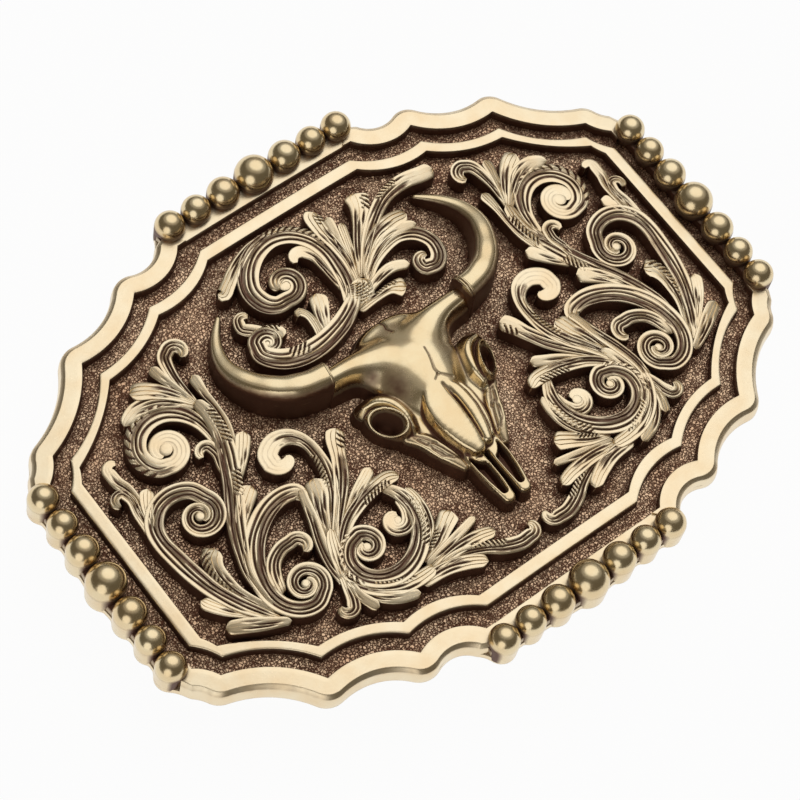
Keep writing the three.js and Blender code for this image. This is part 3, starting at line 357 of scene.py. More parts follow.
# The scrollwork, in millimetres from the middle of the field. Each ribbon is a stem of [x, y, half
# width] and its curl, (centre x, centre y, end radius, end half width, turns, way), or None. The
# right side mirrors the left.
SIDE_SCROLLS = [
    # Outer stem with its volute, and the leaves at its foot
    ([[-33.4, -16.6, 0.4], [-34.8, -14.8, 0.65], [-36.4, -12.2, 0.95], [-37.8, -9, 1.1],
      [-38.6, -6, 1.2], [-39.1, -3, 1.2], [-39.4, 0, 1.15], [-38.9, 2.3, 1.2], [-37.2, 4, 1.2],
      [-34.9, 4.4, 1.15], [-32.7, 3.5, 1.1], [-31.6, 1.5, 1.05]], (-33.7, 0, 0.5, 0.45, 1.35, -1)),
    ([[-33.4, -15.4, 0.4], [-35.4, -11.4, 0.65], [-36.1, -9, 0.95], [-36.2, -6.8, 1.1],
      [-35.7, -5.2, 1.35], [-34.7, -4.5, 1.35]], None),
    ([[-34.6, -15.4, 0.4], [-36.8, -13.3, 0.5], [-38.3, -11.5, 0.75], [-39.4, -9.9, 0.85],
      [-39.9, -8.8, 0.85]], None),
    ([[-32.6, -17.4, 0.5], [-35.4, -15.9, 0.85], [-37.6, -14.6, 0.95], [-39.6, -13.5, 0.85]], None),
    ([[-39.8, 1.5, 0.5], [-39.6, 4.6, 0.6], [-39.2, 6.6, 0.65], [-39.5, 8, 0.65]],
     (-40.3, 7.3, 0.5, 0.5, 0.55, 1)),
    ([[-38.9, 2.5, 0.5], [-38.7, 7.5, 0.7], [-39.2, 9.6, 0.8], [-39.3, 11.2, 0.8]],
     (-38.5, 11.5, 0.5, 0.6, 0.5, -1)),
    ([[-39.2, 1.8, 0.4], [-38.4, 4.2, 0.7], [-37.5, 5.8, 0.95], [-36.7, 6.8, 0.9]], None),
    # The arched sweep and its volute
    ([[-21.9, -5.8, 0.7], [-22.3, -4.3, 1.1], [-24.4, -3.75, 1.2], [-26.8, -4.2, 1.3],
      [-29.2, -5.6, 1.35], [-31.1, -7.6, 1.35], [-32.4, -10, 1.3], [-32.9, -13, 1.2],
      [-32.3, -15.4, 1.1], [-30.8, -17.1, 1.05], [-28.8, -17.6, 1], [-27, -16.6, 0.95]],
     (-28.5, -14.7, 0.5, 0.45, 1.3, 1)),
    ([[-31.5, -14, 0.7], [-30.9, -11.6, 0.9], [-29.9, -10.1, 0.95], [-28.3, -9.3, 0.95],
      [-26.8, -9.25, 0.95]], (-26.3, -10.4, 0.75, 0.75, 0.55, -1)),
    # The tall stem, its volute and its crown of leaves
    ([[-33.4, -15, 0.4], [-33.4, -10, 0.6], [-32.4, -7, 0.9], [-31, -4, 1.15], [-29.3, -1.2, 1.25],
      [-27.9, 1.2, 1.25], [-26.8, 3.4, 1.25], [-25.8, 5.6, 1.2], [-25.1, 8, 1.1],
      [-24.9, 10.5, 0.95], [-25.2, 12.8, 0.7]], None),
    ([[-26.2, 6, 0.6], [-26.3, 8.8, 0.75], [-26.7, 10.8, 0.95], [-27.8, 12.7, 1.2],
      [-29.6, 14, 1.35], [-31.8, 14.2, 1.4], [-33.8, 13.3, 1.4], [-35, 11.5, 1.3], [-35, 9.6, 1.25],
      [-34, 8.1, 1.2], [-32.4, 7.5, 1.1]], (-31.9, 9.7, 0.8, 1, 0.9, 1)),
    ([[-25.4, 12.2, 0.4], [-27.6, 14.4, 0.8], [-29.6, 15.7, 1.1], [-31.8, 16.1, 1.1],
      [-33.4, 15.7, 0.9], [-34.2, 15.3, 0.5]], None),
    ([[-25.2, 12.6, 0.4], [-26.9, 15, 0.8], [-28.5, 16.8, 1.1], [-30, 17.9, 1.25],
      [-31.2, 18.4, 1]], None),
    ([[-25.3, 12.6, 0.35], [-26.2, 16, 0.5], [-26.8, 18.3, 0.7], [-27, 19.8, 0.75]], None),
    ([[-25.2, 12.4, 0.4], [-25.5, 15.5, 0.6], [-25.4, 17.8, 0.8], [-24.9, 19.8, 0.95],
      [-23.8, 20.6, 1]], (-23.4, 19.5, 0.75, 0.9, 0.5, -1)),
    ([[-24.8, 5.2, 0.5], [-23.8, 8, 0.5], [-23.5, 10.5, 0.4], [-23.6, 13, 0.55], [-23.5, 15, 0.75],
      [-23.4, 15.9, 0.75]], None),
    ([[-26.8, 1.2, 0.4], [-25, 3.2, 0.8], [-23.7, 4.8, 1], [-22.8, 6, 0.95]], None),
    ([[-27.9, 1.2, 0.5], [-27.6, 3.6, 0.7], [-27.1, 5.4, 0.75], [-27.3, 6.9, 0.75]],
     (-28.2, 6.4, 0.6, 0.65, 0.5, 1)),
    ([[-31.4, -5.2, 0.5], [-29.5, -3, 0.9], [-27.8, -1.5, 1.15], [-26.3, -0.4, 1.15]], None),
    # The fan of stems that rises between the sweep and the skull
    ([[-24.6, -17.6, 0.6], [-24.5, -14.5, 0.7], [-23.8, -11.5, 0.8], [-22.8, -8.6, 0.7],
      [-22.1, -6, 0.6], [-21.6, -4.4, 0.6]], None),
    ([[-24.2, -17, 0.7], [-23.4, -14.5, 0.9], [-22.6, -12.3, 0.8], [-21.8, -10.8, 0.5]], None),
    ([[-23, -13.2, 0.5], [-20.6, -9.6, 0.8], [-18.9, -7.2, 0.95], [-17.7, -4.6, 0.95],
      [-17.2, -2, 0.85], [-17.4, 0.4, 0.85], [-18.6, 2.1, 1.1], [-20.5, 2.6, 1.25],
      [-22.2, 1.7, 1.3], [-22.5, 0.2, 1.3]], (-21.3, 0.4, 0.9, 1.1, 0.45, 1)),
    ([[-22.2, -12.2, 0.5], [-19, -8.9, 0.8], [-16.8, -6.3, 1], [-15.3, -3.8, 1], [-14.2, -1.6, 1.2],
      [-13.2, -0.4, 1.2]], None),
    ([[-22.6, -11.4, 0.5], [-21.3, -8.4, 0.9], [-20.3, -6.4, 1.2], [-19.7, -4.7, 1.35],
      [-19.5, -4.2, 1.2]], None),
    ([[-19.6, -10.9, 0.4], [-16.6, -9, 0.7], [-14.4, -7.9, 0.8], [-12.9, -7.1, 0.8]], None),
    ([[-23, -14.2, 0.5], [-19.8, -11.5, 0.8], [-17, -10.2, 0.95], [-14.2, -9.6, 1], [-12, -9.5, 1],
      [-10.7, -10.1, 0.7]], None),
    # The great curve round the lower volute, and the leaves along its foot
    ([[-13.3, -9.9, 0.6], [-12.1, -12.2, 0.9], [-11.9, -14.4, 1], [-12.6, -16.8, 1.1],
      [-14.2, -18.8, 1.2], [-16.4, -20.1, 1.25], [-18.8, -20.4, 1.25], [-21, -19.5, 1.2],
      [-22.4, -17.8, 1.2], [-22.6, -15.6, 1.15], [-21.4, -13.9, 1.1], [-19.6, -13.3, 1.05]],
     (-19.7, -15.3, 0.5, 0.5, 1, -1)),
    ([[-12.6, -12.2, 0.6], [-12.8, -14.2, 0.7], [-13.3, -15.5, 0.9]],
     (-14.6, -14.7, 0.6, 0.8, 0.8, -1)),
    ([[-13.5, -19.3, 0.5], [-12, -17.8, 0.8], [-11.1, -15.8, 0.8], [-10.8, -13.6, 0.7],
      [-11, -11.8, 0.5]], None),
    ([[-15, -20.9, 0.4], [-12.4, -20, 0.8], [-10.4, -18.8, 1.1], [-8.9, -17.9, 1.3],
      [-8.3, -17.6, 1.2]], None),
    ([[-15, -21.4, 0.4], [-11.4, -20.9, 0.55], [-8.6, -20.4, 0.6], [-6.4, -19.9, 0.5]], None),
    ([[-15, -22.3, 0.7], [-11, -22, 0.85], [-7.8, -22.2, 0.95], [-5.4, -22.8, 0.8]], None),
    ([[-14, -22.5, 0.6], [-10.5, -22.8, 0.7], [-7.8, -23.9, 0.85], [-5.9, -25.1, 1],
      [-3.9, -25.9, 1], [-2.2, -25.9, 0.95]], (-1.9, -24.9, 0.6, 0.7, 0.45, 1)),
    ([[-17, -22.9, 0.9], [-13.5, -23.2, 0.95], [-11, -24, 1], [-9.2, -25, 0.9], [-8.6, -25.5, 0.7]],
     None),
    ([[-23.7, -18.4, 0.5], [-22.4, -21, 0.8], [-20.4, -22.8, 0.85], [-17.9, -23.9, 0.6]], None),
    ([[-24.3, -15.5, 0.8], [-23.5, -18, 1], [-21.9, -20.2, 1.1], [-19.6, -21.7, 1.1],
      [-17, -22.3, 1], [-14.5, -22.3, 0.8]], None),
    ([[-24.1, -17.2, 0.5], [-24.1, -19.8, 0.6], [-23.4, -21.9, 0.7], [-23.1, -22.4, 0.6]], None),
    ([[-24.1, -16, 0.5], [-24.7, -18, 0.65], [-25.1, -19.6, 0.8], [-25.6, -20.6, 0.9]],
     (-26.3, -20, 0.6, 0.75, 0.5, -1)),
]

CROWN_SCROLLS = [
    # The great curve to the left, with its ball, leaf and comma
    ([[-1.2, 12.2, 0.8], [0.2, 14.8, 1.1], [0.8, 17.6, 1.15], [0.9, 20.4, 1.2], [0.1, 23, 1.3],
      [-1.7, 24.9, 1.3], [-4.2, 25.7, 1.3], [-7, 25.1, 1.4], [-9.3, 23.4, 1.45],
      [-10.5, 21.1, 1.35], [-10.2, 18.9, 1.3], [-9, 17.6, 1.2], [-7.2, 17.4, 1.1]],
     (-6.4, 19.4, 0.8, 1, 0.85, 1)),
    ([[-0.3, 13.2, 0.6], [-0.5, 16.4, 0.6], [-0.6, 18.8, 0.65], [-0.8, 20.6, 0.75],
      [-1.5, 21.8, 0.85]], (-2.5, 21.2, 0.6, 0.9, 0.45, 1)),
    ([[-3.6, 26.5, 0.5], [-7, 26.2, 0.7], [-10, 25, 0.85], [-12.3, 23.5, 0.95], [-13.6, 22.7, 1],
      [-14.1, 23.2, 0.8]], None),
    # The low curve to the left
    ([[0.6, 13.6, 0.9], [-1.4, 12, 1.1], [-4.4, 10.6, 1.3], [-7.6, 9.9, 1.4], [-10.6, 10.1, 1.45],
      [-13, 11.1, 1.4], [-14.6, 12.9, 1.3], [-14.4, 14.7, 1.1]], (-13.1, 13.9, 0.5, 0.6, 0.9, -1)),
    ([[-14.2, 15.4, 0.6], [-12.4, 15.3, 0.9], [-11.2, 14.3, 1], [-11.1, 13.5, 0.95]], None),
    ([[-12.4, 15.2, 0.9], [-13.6, 16.4, 0.9], [-14.6, 17.4, 0.8], [-14.4, 18.4, 0.75]],
     (-13.6, 18.2, 0.5, 0.55, 0.45, -1)),
    ([[-7, 10.6, 0.5], [-6.6, 12.6, 0.55], [-6.6, 14.2, 0.55], [-7.2, 15.2, 0.6],
      [-7.8, 14.8, 0.5]], None),
    ([[-6, 10.6, 0.5], [-5.2, 12.8, 0.9], [-4.3, 14.8, 1.2], [-3.8, 16.1, 1.1]], None),
    # The upright leaves and the ones that lean to the right
    ([[1.6, 14.4, 0.4], [2.3, 17.4, 0.7], [2.4, 20.2, 0.85], [2.2, 22.8, 1], [2.4, 25.1, 1.2],
      [3, 25.8, 1.1]], None),
    ([[2.2, 16.5, 0.4], [3, 20, 0.5], [3.6, 22.4, 0.6], [3.9, 24.2, 0.7]], None),
    ([[2, 14.6, 0.35], [3.6, 18.5, 0.5], [4.7, 21.6, 0.6], [5, 22.6, 0.55]], None),
    ([[2.4, 14.8, 0.4], [4.8, 18.4, 0.7], [7, 21.2, 0.9], [8.6, 23.3, 1.4], [9.2, 25.1, 1.8]],
     None),
    ([[2.8, 14.8, 0.4], [5.8, 18.1, 0.7], [8.6, 20.4, 0.9], [12, 22.4, 1], [15.4, 23, 1.1],
      [18.4, 22.6, 1.15], [20.2, 22.5, 1.1]], None),
    ([[2.8, 14.6, 0.4], [5.2, 16.9, 0.8], [7.8, 18.5, 1.05], [10.6, 19.1, 1.15], [13, 18.9, 1]],
     None),
    ([[2.8, 14.2, 0.4], [5.4, 16.2, 0.7], [8.4, 17.4, 0.8], [11.4, 17.5, 0.8], [13.2, 17, 0.5]],
     None),
    # The volute to the right, the leaf into it, the pocket under it and the collar that binds all
    ([[2.4, 13.4, 0.5], [4.8, 15.4, 0.8], [7.4, 16.5, 0.9], [10, 16.8, 0.9], [12.2, 15.9, 1.05],
      [13.3, 14, 1.05], [13, 12, 1.1], [11.8, 10.9, 1.1], [10.3, 11.1, 1.1]],
     (11.1, 12.1, 0.6, 0.8, 0.5, -1)),
    ([[1.4, 12.4, 0.5], [4.4, 13.4, 0.7], [6.6, 13.6, 0.8], [8.8, 12.8, 0.7]], None),
    ([[-0.6, 11.2, 0.7], [2.6, 11.3, 0.6], [4.4, 11.3, 0.8], [5.6, 10.8, 1.3], [6.3, 10.3, 1.5]],
     None),
    ([[-0.8, 11.4, 0.8], [1.4, 13.2, 1.6], [2.3, 14.6, 1.2]], None),
]


# How far an outer rim runs on at its ends, in under the end beads.
RUN_ON = 1.3


def outer_corner(sizes, width, count=60, run_on=0.0):
    """The outer rim's corner line, moved outwards by a width; it may run on at both its ends, in
    under the end beads, where a moved line flares outwards too."""
    rail_y = mm(sizes.field_half_height + sizes.inner_rim_width + sizes.top_channel)
    rail_x = mm(sizes.field_half_length + sizes.inner_rim_width + sizes.side_channel)
    line = corner_line([TOP_CORNER, rail_y], [rail_x, SIDE_CORNER], OUTER_CUSP_SHARES,
                       OUTER_SAG_SHARES, width, count)
    if run_on:
        flare = 0.55 * run_on if width else 0.0
        line = np.concatenate([line[:1] + [-run_on, flare], line, line[-1:] + [flare, -run_on]])
    return line


def inner_lines(sizes, count=48, bar_count=60):
    """The inner rim's two closed lines, inside and outside."""
    x, y = mm(sizes.field_half_length), mm(sizes.field_half_height)
    width = mm(sizes.inner_rim_width)
    inside = corner_line([TOP_BAR, y], [x, SIDE_BAR], RING_INSIDE_SHARES, RING_INSIDE_SAG_SHARES, 0,
                         count)
    outside = corner_line([TOP_BAR, y + width], [x + width, SIDE_BAR], RING_OUTSIDE_SHARES,
                          RING_OUTSIDE_SAG_SHARES, 0, count)
    return loop_line(inside, bar_count), loop_line(outside, bar_count)


# Beads: half of a row, from the middle one outwards, as offset along the row and radius; and the
# way outwards from each of the four rows.
BEAD_ROW = [(0.0, 2.65), (4.95, 2.2), (9.25, 2.0), (13.4, 2.05)]
SIDES = {"top": (0, 1), "right": (1, 0), "bottom": (0, -1), "left": (-1, 0)}


def box_of(node):
    """The low and high corners of a frame node's box, in millimetres."""
    return (np.array(corner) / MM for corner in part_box(node))


def middle_of(node):
    """The middle of a frame node's box, in millimetres."""
    low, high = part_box(node)
    return (np.array(low) + np.array(high)) / 2 / MM


def bead_places():
    """Every bead's node name with its centre, its radius and the way outwards from its row."""
    half = BEAD_ROW[1:]
    radii = [radius for _, radius in half[::-1] + BEAD_ROW[:1] + half]
    places = []
    for side, way in SIDES.items():
        for i, radius in enumerate(radii):
            node = "bead_%s_%d" % (side, i + 1)
            centre = middle_of(node)
            centre[2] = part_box(node)[1].z / MM - radius
            places.append((node, centre, radius, np.array(way)))
    return places


def lobed_edge(reach, wave, count=240):
    """One straight side's outer edge as [along, out from the bead line]: the farthest of the beads'
    circles, widened by reach, and of the straight runs from bead to bead, a wave's depth inside."""
    end = BEAD_ROW[-1][0] + BEAD_ROW[-1][1] + reach
    along = end * np.sin(np.linspace(-1, 1, count) * np.pi / 2)
    out = np.zeros(count)
    rows = sorted({(s * a, r + reach) for a, r in BEAD_ROW for s in (-1, 1)})
    for offset, radius in rows:
        out = np.maximum(out, np.sqrt(np.maximum(radius ** 2 - (along - offset) ** 2, 0)))
    flat = np.interp(along, [p[0] for p in rows], [p[1] - wave for p in rows], 0, 0)
    return along, np.maximum(out, flat)


def closed_gaps(reach, step, size):
    """A row of heights with its narrow gaps filled, as a ball of a size rolled over it leaves them:
    the highest of the ball's tops, less the ball again."""
    cells = int(size / step)
    bowl = np.sqrt(size ** 2 - (np.arange(-cells, cells + 1) * step) ** 2) - size
    for sign, pick in ((1, np.maximum), (-1, np.minimum)):
        padded = np.pad(reach, cells, mode="reflect")
        reach = pick.reduce([padded[i:i + len(reach)] + sign * bowl[i] for i in range(len(bowl))])
    return reach


# The radius of the ball that fills the gap between the plate's last beads and its round corners.
GAP_BALL = 3.5


def plate_line(sizes, count=900):
    """The plate's closed outline, clockwise from the top: along each ray from the middle, the
    farthest of the scalloped corner and the lobed sides, with the gap between the last bead and the
    rim filled; one quarter, then its mirrored copies, made smooth."""
    corner = outer_corner(sizes, mm(sizes.outer_rim_width + sizes.plate_flange), 160, RUN_ON)
    along, out = lobed_edge(0.0, mm(sizes.edge_wave))
    keep = (along > -1) & (along < along[-1] - 0.12)
    bead_x, bead_y = middle_of("bead_right_4")[0], middle_of("bead_top_4")[1]
    top = np.stack([along[keep], bead_y + out[keep]], -1)
    side = np.stack([bead_x + out[keep], along[keep]], -1)
    angle = np.linspace(np.pi / 2, 0, count)
    reach = np.zeros(count)
    for line in (corner, top, side):
        at = np.arctan2(line[:, 1], line[:, 0])
        order = np.argsort(at)
        far = np.hypot(line[:, 0], line[:, 1])[order]
        reach = np.maximum(reach, np.interp(angle, at[order], far, 0, 0))
    last = BEAD_ROW[-1][0]
    filled = closed_gaps(reach, reach.mean() * np.pi / 2 / count, GAP_BALL)
    beyond = (filled * np.cos(angle) > last) & (filled * np.sin(angle) > last)
    reach = np.where(beyond, filled, reach)
    quarter = reach[:, None] * on_circle(angle)
    line = np.concatenate([quarter, (quarter * [1, -1])[-2::-1], (quarter * -1)[1:],
                           (quarter * [-1, 1])[-2:0:-1]])
    for _ in range(8):
        line = (np.roll(line, 1, 0) + 2 * line + np.roll(line, -1, 0)) / 4
    return line


# Materials


class Nodes:
    """A short way to add and link shader nodes."""

    def __init__(self, name):
        self.material = bpy.data.materials.new(name)
        self.material.use_nodes = True
        self.tree = self.material.node_tree
        self.tree.nodes.clear()

    def add(self, kind, inputs=None, **settings):
        """A node with its settings; each input gets a value or a link."""
        made = self.tree.nodes.new("ShaderNode" + kind)
        for key, value in settings.items():
            setattr(made, key, value)
        for key, value in (inputs or {}).items():
            if isinstance(value, bpy.types.NodeSocket):
                self.tree.links.new(value, made.inputs[key])
            else:
                made.inputs[key].default_value = value
        return made

    def math(self, operation, a, b=0.0, c=0.0):
        """The result of a sum on two or three numbers."""
        return self.add("Math", {0: a, 1: b, 2: c}, operation=operation).outputs[0]

    def mix(self, factor, a, b):
        """A colour between a and b."""
        return self.add("Mix", {0: factor, 6: a, 7: b}, data_type="RGBA").outputs[2]

    def ramp(self, value, low, high, to_low=0.0, to_high=1.0):
        """A value's place between low and high, held to them, laid on to_low and to_high."""
        return self.add("MapRange", {0: value, 1: low, 2: high, 3: to_low, 4: to_high}).outputs[0]

    def noise(self, scale, detail=2.0, roughness=0.5, stretch=(1, 1, 1)):
        """Noise on the piece's own coordinates, in metres, which may be stretched."""
        place = self.add("TexCoord").outputs["Object"]
        mapped = self.add("Mapping", {"Vector": place, "Scale": stretch}).outputs[0]
        return self.add("TexNoise", {"Vector": mapped, "Scale": scale, "Detail": detail,
                                     "Roughness": roughness}).outputs["Fac"]

    def bump(self, height, distance, strength=1.0, normal=None):
        """A normal roughened by a height, over another normal if one is given."""
        inputs = {"Height": height, "Distance": distance, "Strength": strength}
        if normal is not None:
            inputs["Normal"] = normal
        return self.add("Bump", inputs).outputs[0]

    def finish(self, inputs):
        """The material, with its surface shader joined to its output."""
        shader = self.add("BsdfPrincipled", inputs)
        out = self.add("OutputMaterial")
        self.tree.links.new(shader.outputs[0], out.inputs[0])
        return self.material


def rgba(value):
    """A colour with its fourth number."""
    return (*value, 1.0)


def tinted(value, shares):
    """A colour with its red, green and blue each taken down to a share."""
    return rgba([part * share for part, share in zip(value, shares)])


def antiqued_metal(name, base, patina_and_shade, roughness, brush, relief, dark_to=0.85):
    """Gold whose recesses are antiqued: the patina and painted shade at each point, broken up by
    noise, turn the metal brown and dull; fine brushing and small pits, as deep as relief, roughen
    it."""
    n = Nodes(name)
    worn = n.noise(900, 4, 0.6)
    fine = n.noise(5200, 3, 0.6)
    # The attribute holds the patina and the painted shade together.
    amount = n.add("Attribute", attribute_name="patina_and_shade").outputs["Fac"]
    broken = n.math("MULTIPLY_ADD", n.math("SUBTRACT", worn, 0.5), 0.3, amount)
    dark = n.ramp(broken, 0.15, dark_to)
    tint = n.mix(n.ramp(n.noise(300, 3), 0.35, 0.7), rgba(base), tinted(base, (0.95, 0.88, 0.80)))
    coloured = n.mix(dark, tint, rgba(patina_and_shade))
    dull = n.math("MULTIPLY_ADD", dark, 0.25, n.ramp(fine, 0.3, 0.7, roughness - 0.03,
                                                      roughness + 0.05))
    grain = n.bump(n.noise(2200, 5, 0.6, brush), relief, 0.6)
    pits = n.bump(fine, 0.6 * relief, 0.4, grain)
    return n.finish({"Base Color": coloured, "Metallic": n.ramp(dark, 0, 1, 1.0, 0.65),
                     "Roughness": dull, "Normal": pits})


def stippled_metal(name, light, patina_and_shade):
    """The floor's fine stipple: small domed grains, each of its own brightness, with dark lines
    between them."""
    n = Nodes(name)
    place = n.add("TexCoord").outputs["Object"]
    shift = n.add("TexNoise", {"Vector": place, "Scale": 2600.0, "Detail": 3.0}).outputs["Color"]
    bent = n.add("VectorMath", {0: shift, "Scale": 0.0006}, operation="SCALE").outputs[0]
    where = n.add("VectorMath", {0: place, 1: bent}, operation="ADD").outputs[0]
    grains = {"Vector": where, "Scale": 2700.0}
    line = n.add("TexVoronoi", grains, feature="DISTANCE_TO_EDGE")
    cell = n.add("TexVoronoi", grains, feature="F1").outputs["Color"]
    bright = n.add("SeparateColor", {0: cell}).outputs[0]
    height = n.ramp(line.outputs["Distance"], 0.0, 0.2)
    # The attribute's patina and painted shade, darkest at the foot of the ornaments, darken the
    # grains.
    amount = n.add("Attribute", attribute_name="patina_and_shade").outputs["Fac"]
    level = n.math("MULTIPLY", height, n.ramp(bright, 0.0, 1.0, 0.5, 1.15))
    cloud = n.ramp(n.noise(420, 3, 0.6), 0.3, 0.7, -0.12, 0.2)
    shade = n.math("SUBTRACT", n.math("ADD", level, cloud), n.math("MULTIPLY", amount, 0.8))
    tint = n.mix(n.ramp(n.noise(160, 3, 0.6), 0.35, 0.7), rgba(light),
                 tinted(light, (0.9, 0.8, 0.75)))
    coloured = n.mix(n.ramp(shade, 0.1, 0.95), rgba(patina_and_shade), tint)
    bumped = n.bump(height, 0.00004, 0.9, n.bump(n.noise(7000, 3), 0.00001, 0.5))
    return n.finish({"Base Color": coloured, "Metallic": 0.9, "Roughness": 0.36, "Normal": bumped})


def make_finishes(colours):
    """The five finishes."""
    antiqued_metal("antiqued gold", colours.gold, colours.patina_and_shade, 0.3, (1, 1, 1), 0.00001)
    antiqued_metal("polished gold", colours.polish, colours.patina_and_shade, 0.22, (1, 1, 1), 0.000002)
    antiqued_metal("skull gold", colours.polish, colours.patina_and_shade, 0.2, (1, 1, 1), 0.000003,
                   dark_to=0.65)
    antiqued_metal("plain metal", colours.plain, colours.patina_and_shade, 0.36, (0.15, 1, 1), 0.00001)
    stippled_metal("stippled floor", colours.stipple, colours.patina_and_shade)


def finish_named(name):
    """A finish by its name; all five are made when the first is asked for."""
    if name not in bpy.data.materials:
        make_finishes(bpy.context.scene.buckle_colours)
    return bpy.data.materials[name]


# Plate, floor, rims and rails


# The level that a rim's walls go down to under the field.
RIM_FOOT = -0.1


def section(height, edge, draft_in, draft_out):
    """A rim's section from the foot of its inner wall, over a flat top with cut edges, to the foot
    of its outer wall; each point is [share across, extra outwards, height]."""
    bevel_in, bevel_out = edge
    profile = [(0, -draft_in, RIM_FOOT), (0, -draft_in * 0.5, height * 0.5),
               (0, 0, height - bevel_in), (0, bevel_in * 0.35, height - bevel_in * 0.3),
               (0, bevel_in, height)]
    profile += [(share, 0, height) for share in (0.25, 0.4, 0.5, 0.6, 0.75)]
    profile += [(1, -bevel_out, height), (1, -bevel_out * 0.93, height - bevel_out * 0.03),
                (1, -bevel_out * 0.13, height - bevel_out * 0.55), (1, 0, height - bevel_out * 0.7),
                (1, draft_out * 0.5, height * 0.4), (1, draft_out, RIM_FOOT)]
    return profile


# The patina and painted shade at each point of a section: outer rims, rails above and below, rails
# at the ends, and the inner rim. The painted shade is a dark band on the outer rims' round outer
# edge over a lighter wall, the rails' tops darkening towards their beads, and the end rails dark
# nearly all over, in their beads' shade.
RIM_PATINA_AND_SHADE = [1.0, 0.92, 0.62, 0.25, 0.02, 0, 0, 0, 0, 0, 0, 0.12, 0.3, 0.2, 0.0, 0.05]
RAIL_PATINA_AND_SHADE = [1.0, 0.9, 0.5, 0.15, 0.05, 0.12, 0.35, 0.55, 0.7, 0.8, 0.85, 0.8, 0.7, 0.6, 0.4, 0.3]
END_RAIL_PATINA_AND_SHADE = [1.0, 0.95, 0.9, 0.85, 0.8, 0.8, 0.8, 0.85, 0.85, 0.9, 0.9, 0.85, 0.8, 0.7, 0.45,
                    0.3]
RING_PATINA = [1.0, 0.92, 0.62, 0.25, 0.02, 0, 0, 0, 0, 0, 0.02, 0.1, 0.3, 0.62, 0.92, 1.0]


def band(lines, profile, patina_and_shade, radius, close_rows):
    """A rim as a closed tube: its section carried between two lines, bent with the plate."""
    grid = bend(swept(*lines, profile), radius)
    shape = Shape()
    shape.add_grid(grid, np.tile(patina_and_shade, len(grid)), close_rows=close_rows)
    return shape


# Points round the plate's edge, and the patina of its face and of its back.
PLATE_POINTS = 2400
FACE_PATINA, BACK_PATINA = 0.55, 0.05


class BUCKLE_OT_plate(bpy.types.Operator):
    """The curved plate: a solid with a scalloped, lobed edge, and a smooth back"""
    bl_idname = "buckle.plate"
    bl_label = "Plate"

    def execute(self, context):
        sizes = context.scene.buckle_sizes
        radius, thick = mm(sizes.bend_radius), mm(sizes.plate_thickness)
        line = even_loop(plate_line(sizes), PLATE_POINTS)
        out = across(np.concatenate([line[-1:], line, line[:1]]))[1:-1]
        # Rings from the middle of the face over the edge to the middle of the back.
        top, low = -0.06, -thick - 0.1
        rings = [(s, 0.0, top) for s in np.linspace(0, 0.97, 14)[1:]]
        rings += [(1, -0.42, top), (1, -0.16, top), (1, -0.09, top - 0.04), (1, -0.04, top - 0.45),
                  (1, 0, low + 0.25), (1, -0.06, low + 0.08), (1, -0.22, low)]
        rings += [(s, 0.0, low) for s in np.linspace(0.97, 0, 14)[:-1]]
        share, extra, height = np.array(rings).T[..., None]
        points = lifted(line * share[..., None] + out * extra[..., None], height).reshape(-1, 3)
        points = np.concatenate([points, [[0, 0, top], [0, 0, low]]])
        patina_and_shade = np.repeat(np.where(height == top, FACE_PATINA, BACK_PATINA), PLATE_POINTS)
        shape = Shape()
        shape.add(bend(points, radius), ring_faces(len(rings), PLATE_POINTS),
                  np.concatenate([patina_and_shade, [FACE_PATINA, BACK_PATINA]]))
        make_piece("plate", shape, "antiqued gold", "plate", ["base_plate"])
        return {"FINISHED"}


def stipple_height(points, grain, depth):
    """The stipple's height over a flat point: two layers of smooth noise, a grain and 0.6 of a
    grain wide."""
    x, y = points[..., 0], points[..., 1]
    fine = value_noise(x + 0.7 * y, y - 0.7 * x, grain * 0.6, 4)
    return depth * (value_noise(x, y, grain, 3) + 0.5 * fine)


def slab(grid, patina_and_shade, under, radius):
    """A sheet of points made a closed body, bent with the plate: a second sheet with few columns at
    a level under it, and faces that join their edges."""
    rows, columns = grid.shape[:2]
    picks = np.unique(np.linspace(0, columns - 1, 10).astype(int))
    low = grid[:, picks].copy()
    low[..., 2] = under
    few = len(picks)
    base = rows * columns
    i = np.arange(rows - 1)
    left = np.stack([i * columns, (i + 1) * columns, base + (i + 1) * few, base + i * few], -1)
    right = np.stack([(i + 1) * columns - 1, base + (i + 1) * few - 1, base + (i + 2) * few - 1,
                      (i + 2) * columns - 1], -1)
    first = np.concatenate([np.arange(columns)[::-1], base + np.arange(few)])[None]
    last = np.concatenate([(rows - 1) * columns + np.arange(columns),
                           (base + (rows - 1) * few + np.arange(few))[::-1]])[None]
    shape = Shape()
    shape.add(np.concatenate([grid.reshape(-1, 3), low.reshape(-1, 3)]),
              [grid_quads(rows, columns), grid_quads(rows, few, first=base)[:, ::-1], left, right,
               first, last], np.concatenate([patina_and_shade.ravel(), np.full(rows * few, 0.6)]))
    shape.points = [bend(points, radius) for points in shape.points]
    return shape


# The skull's half width at levels below its forehead, for the floor beside it.
SNOUT_WIDTHS = [[-21, 2.2], [-14, 3.8], [-9, 6.2]]


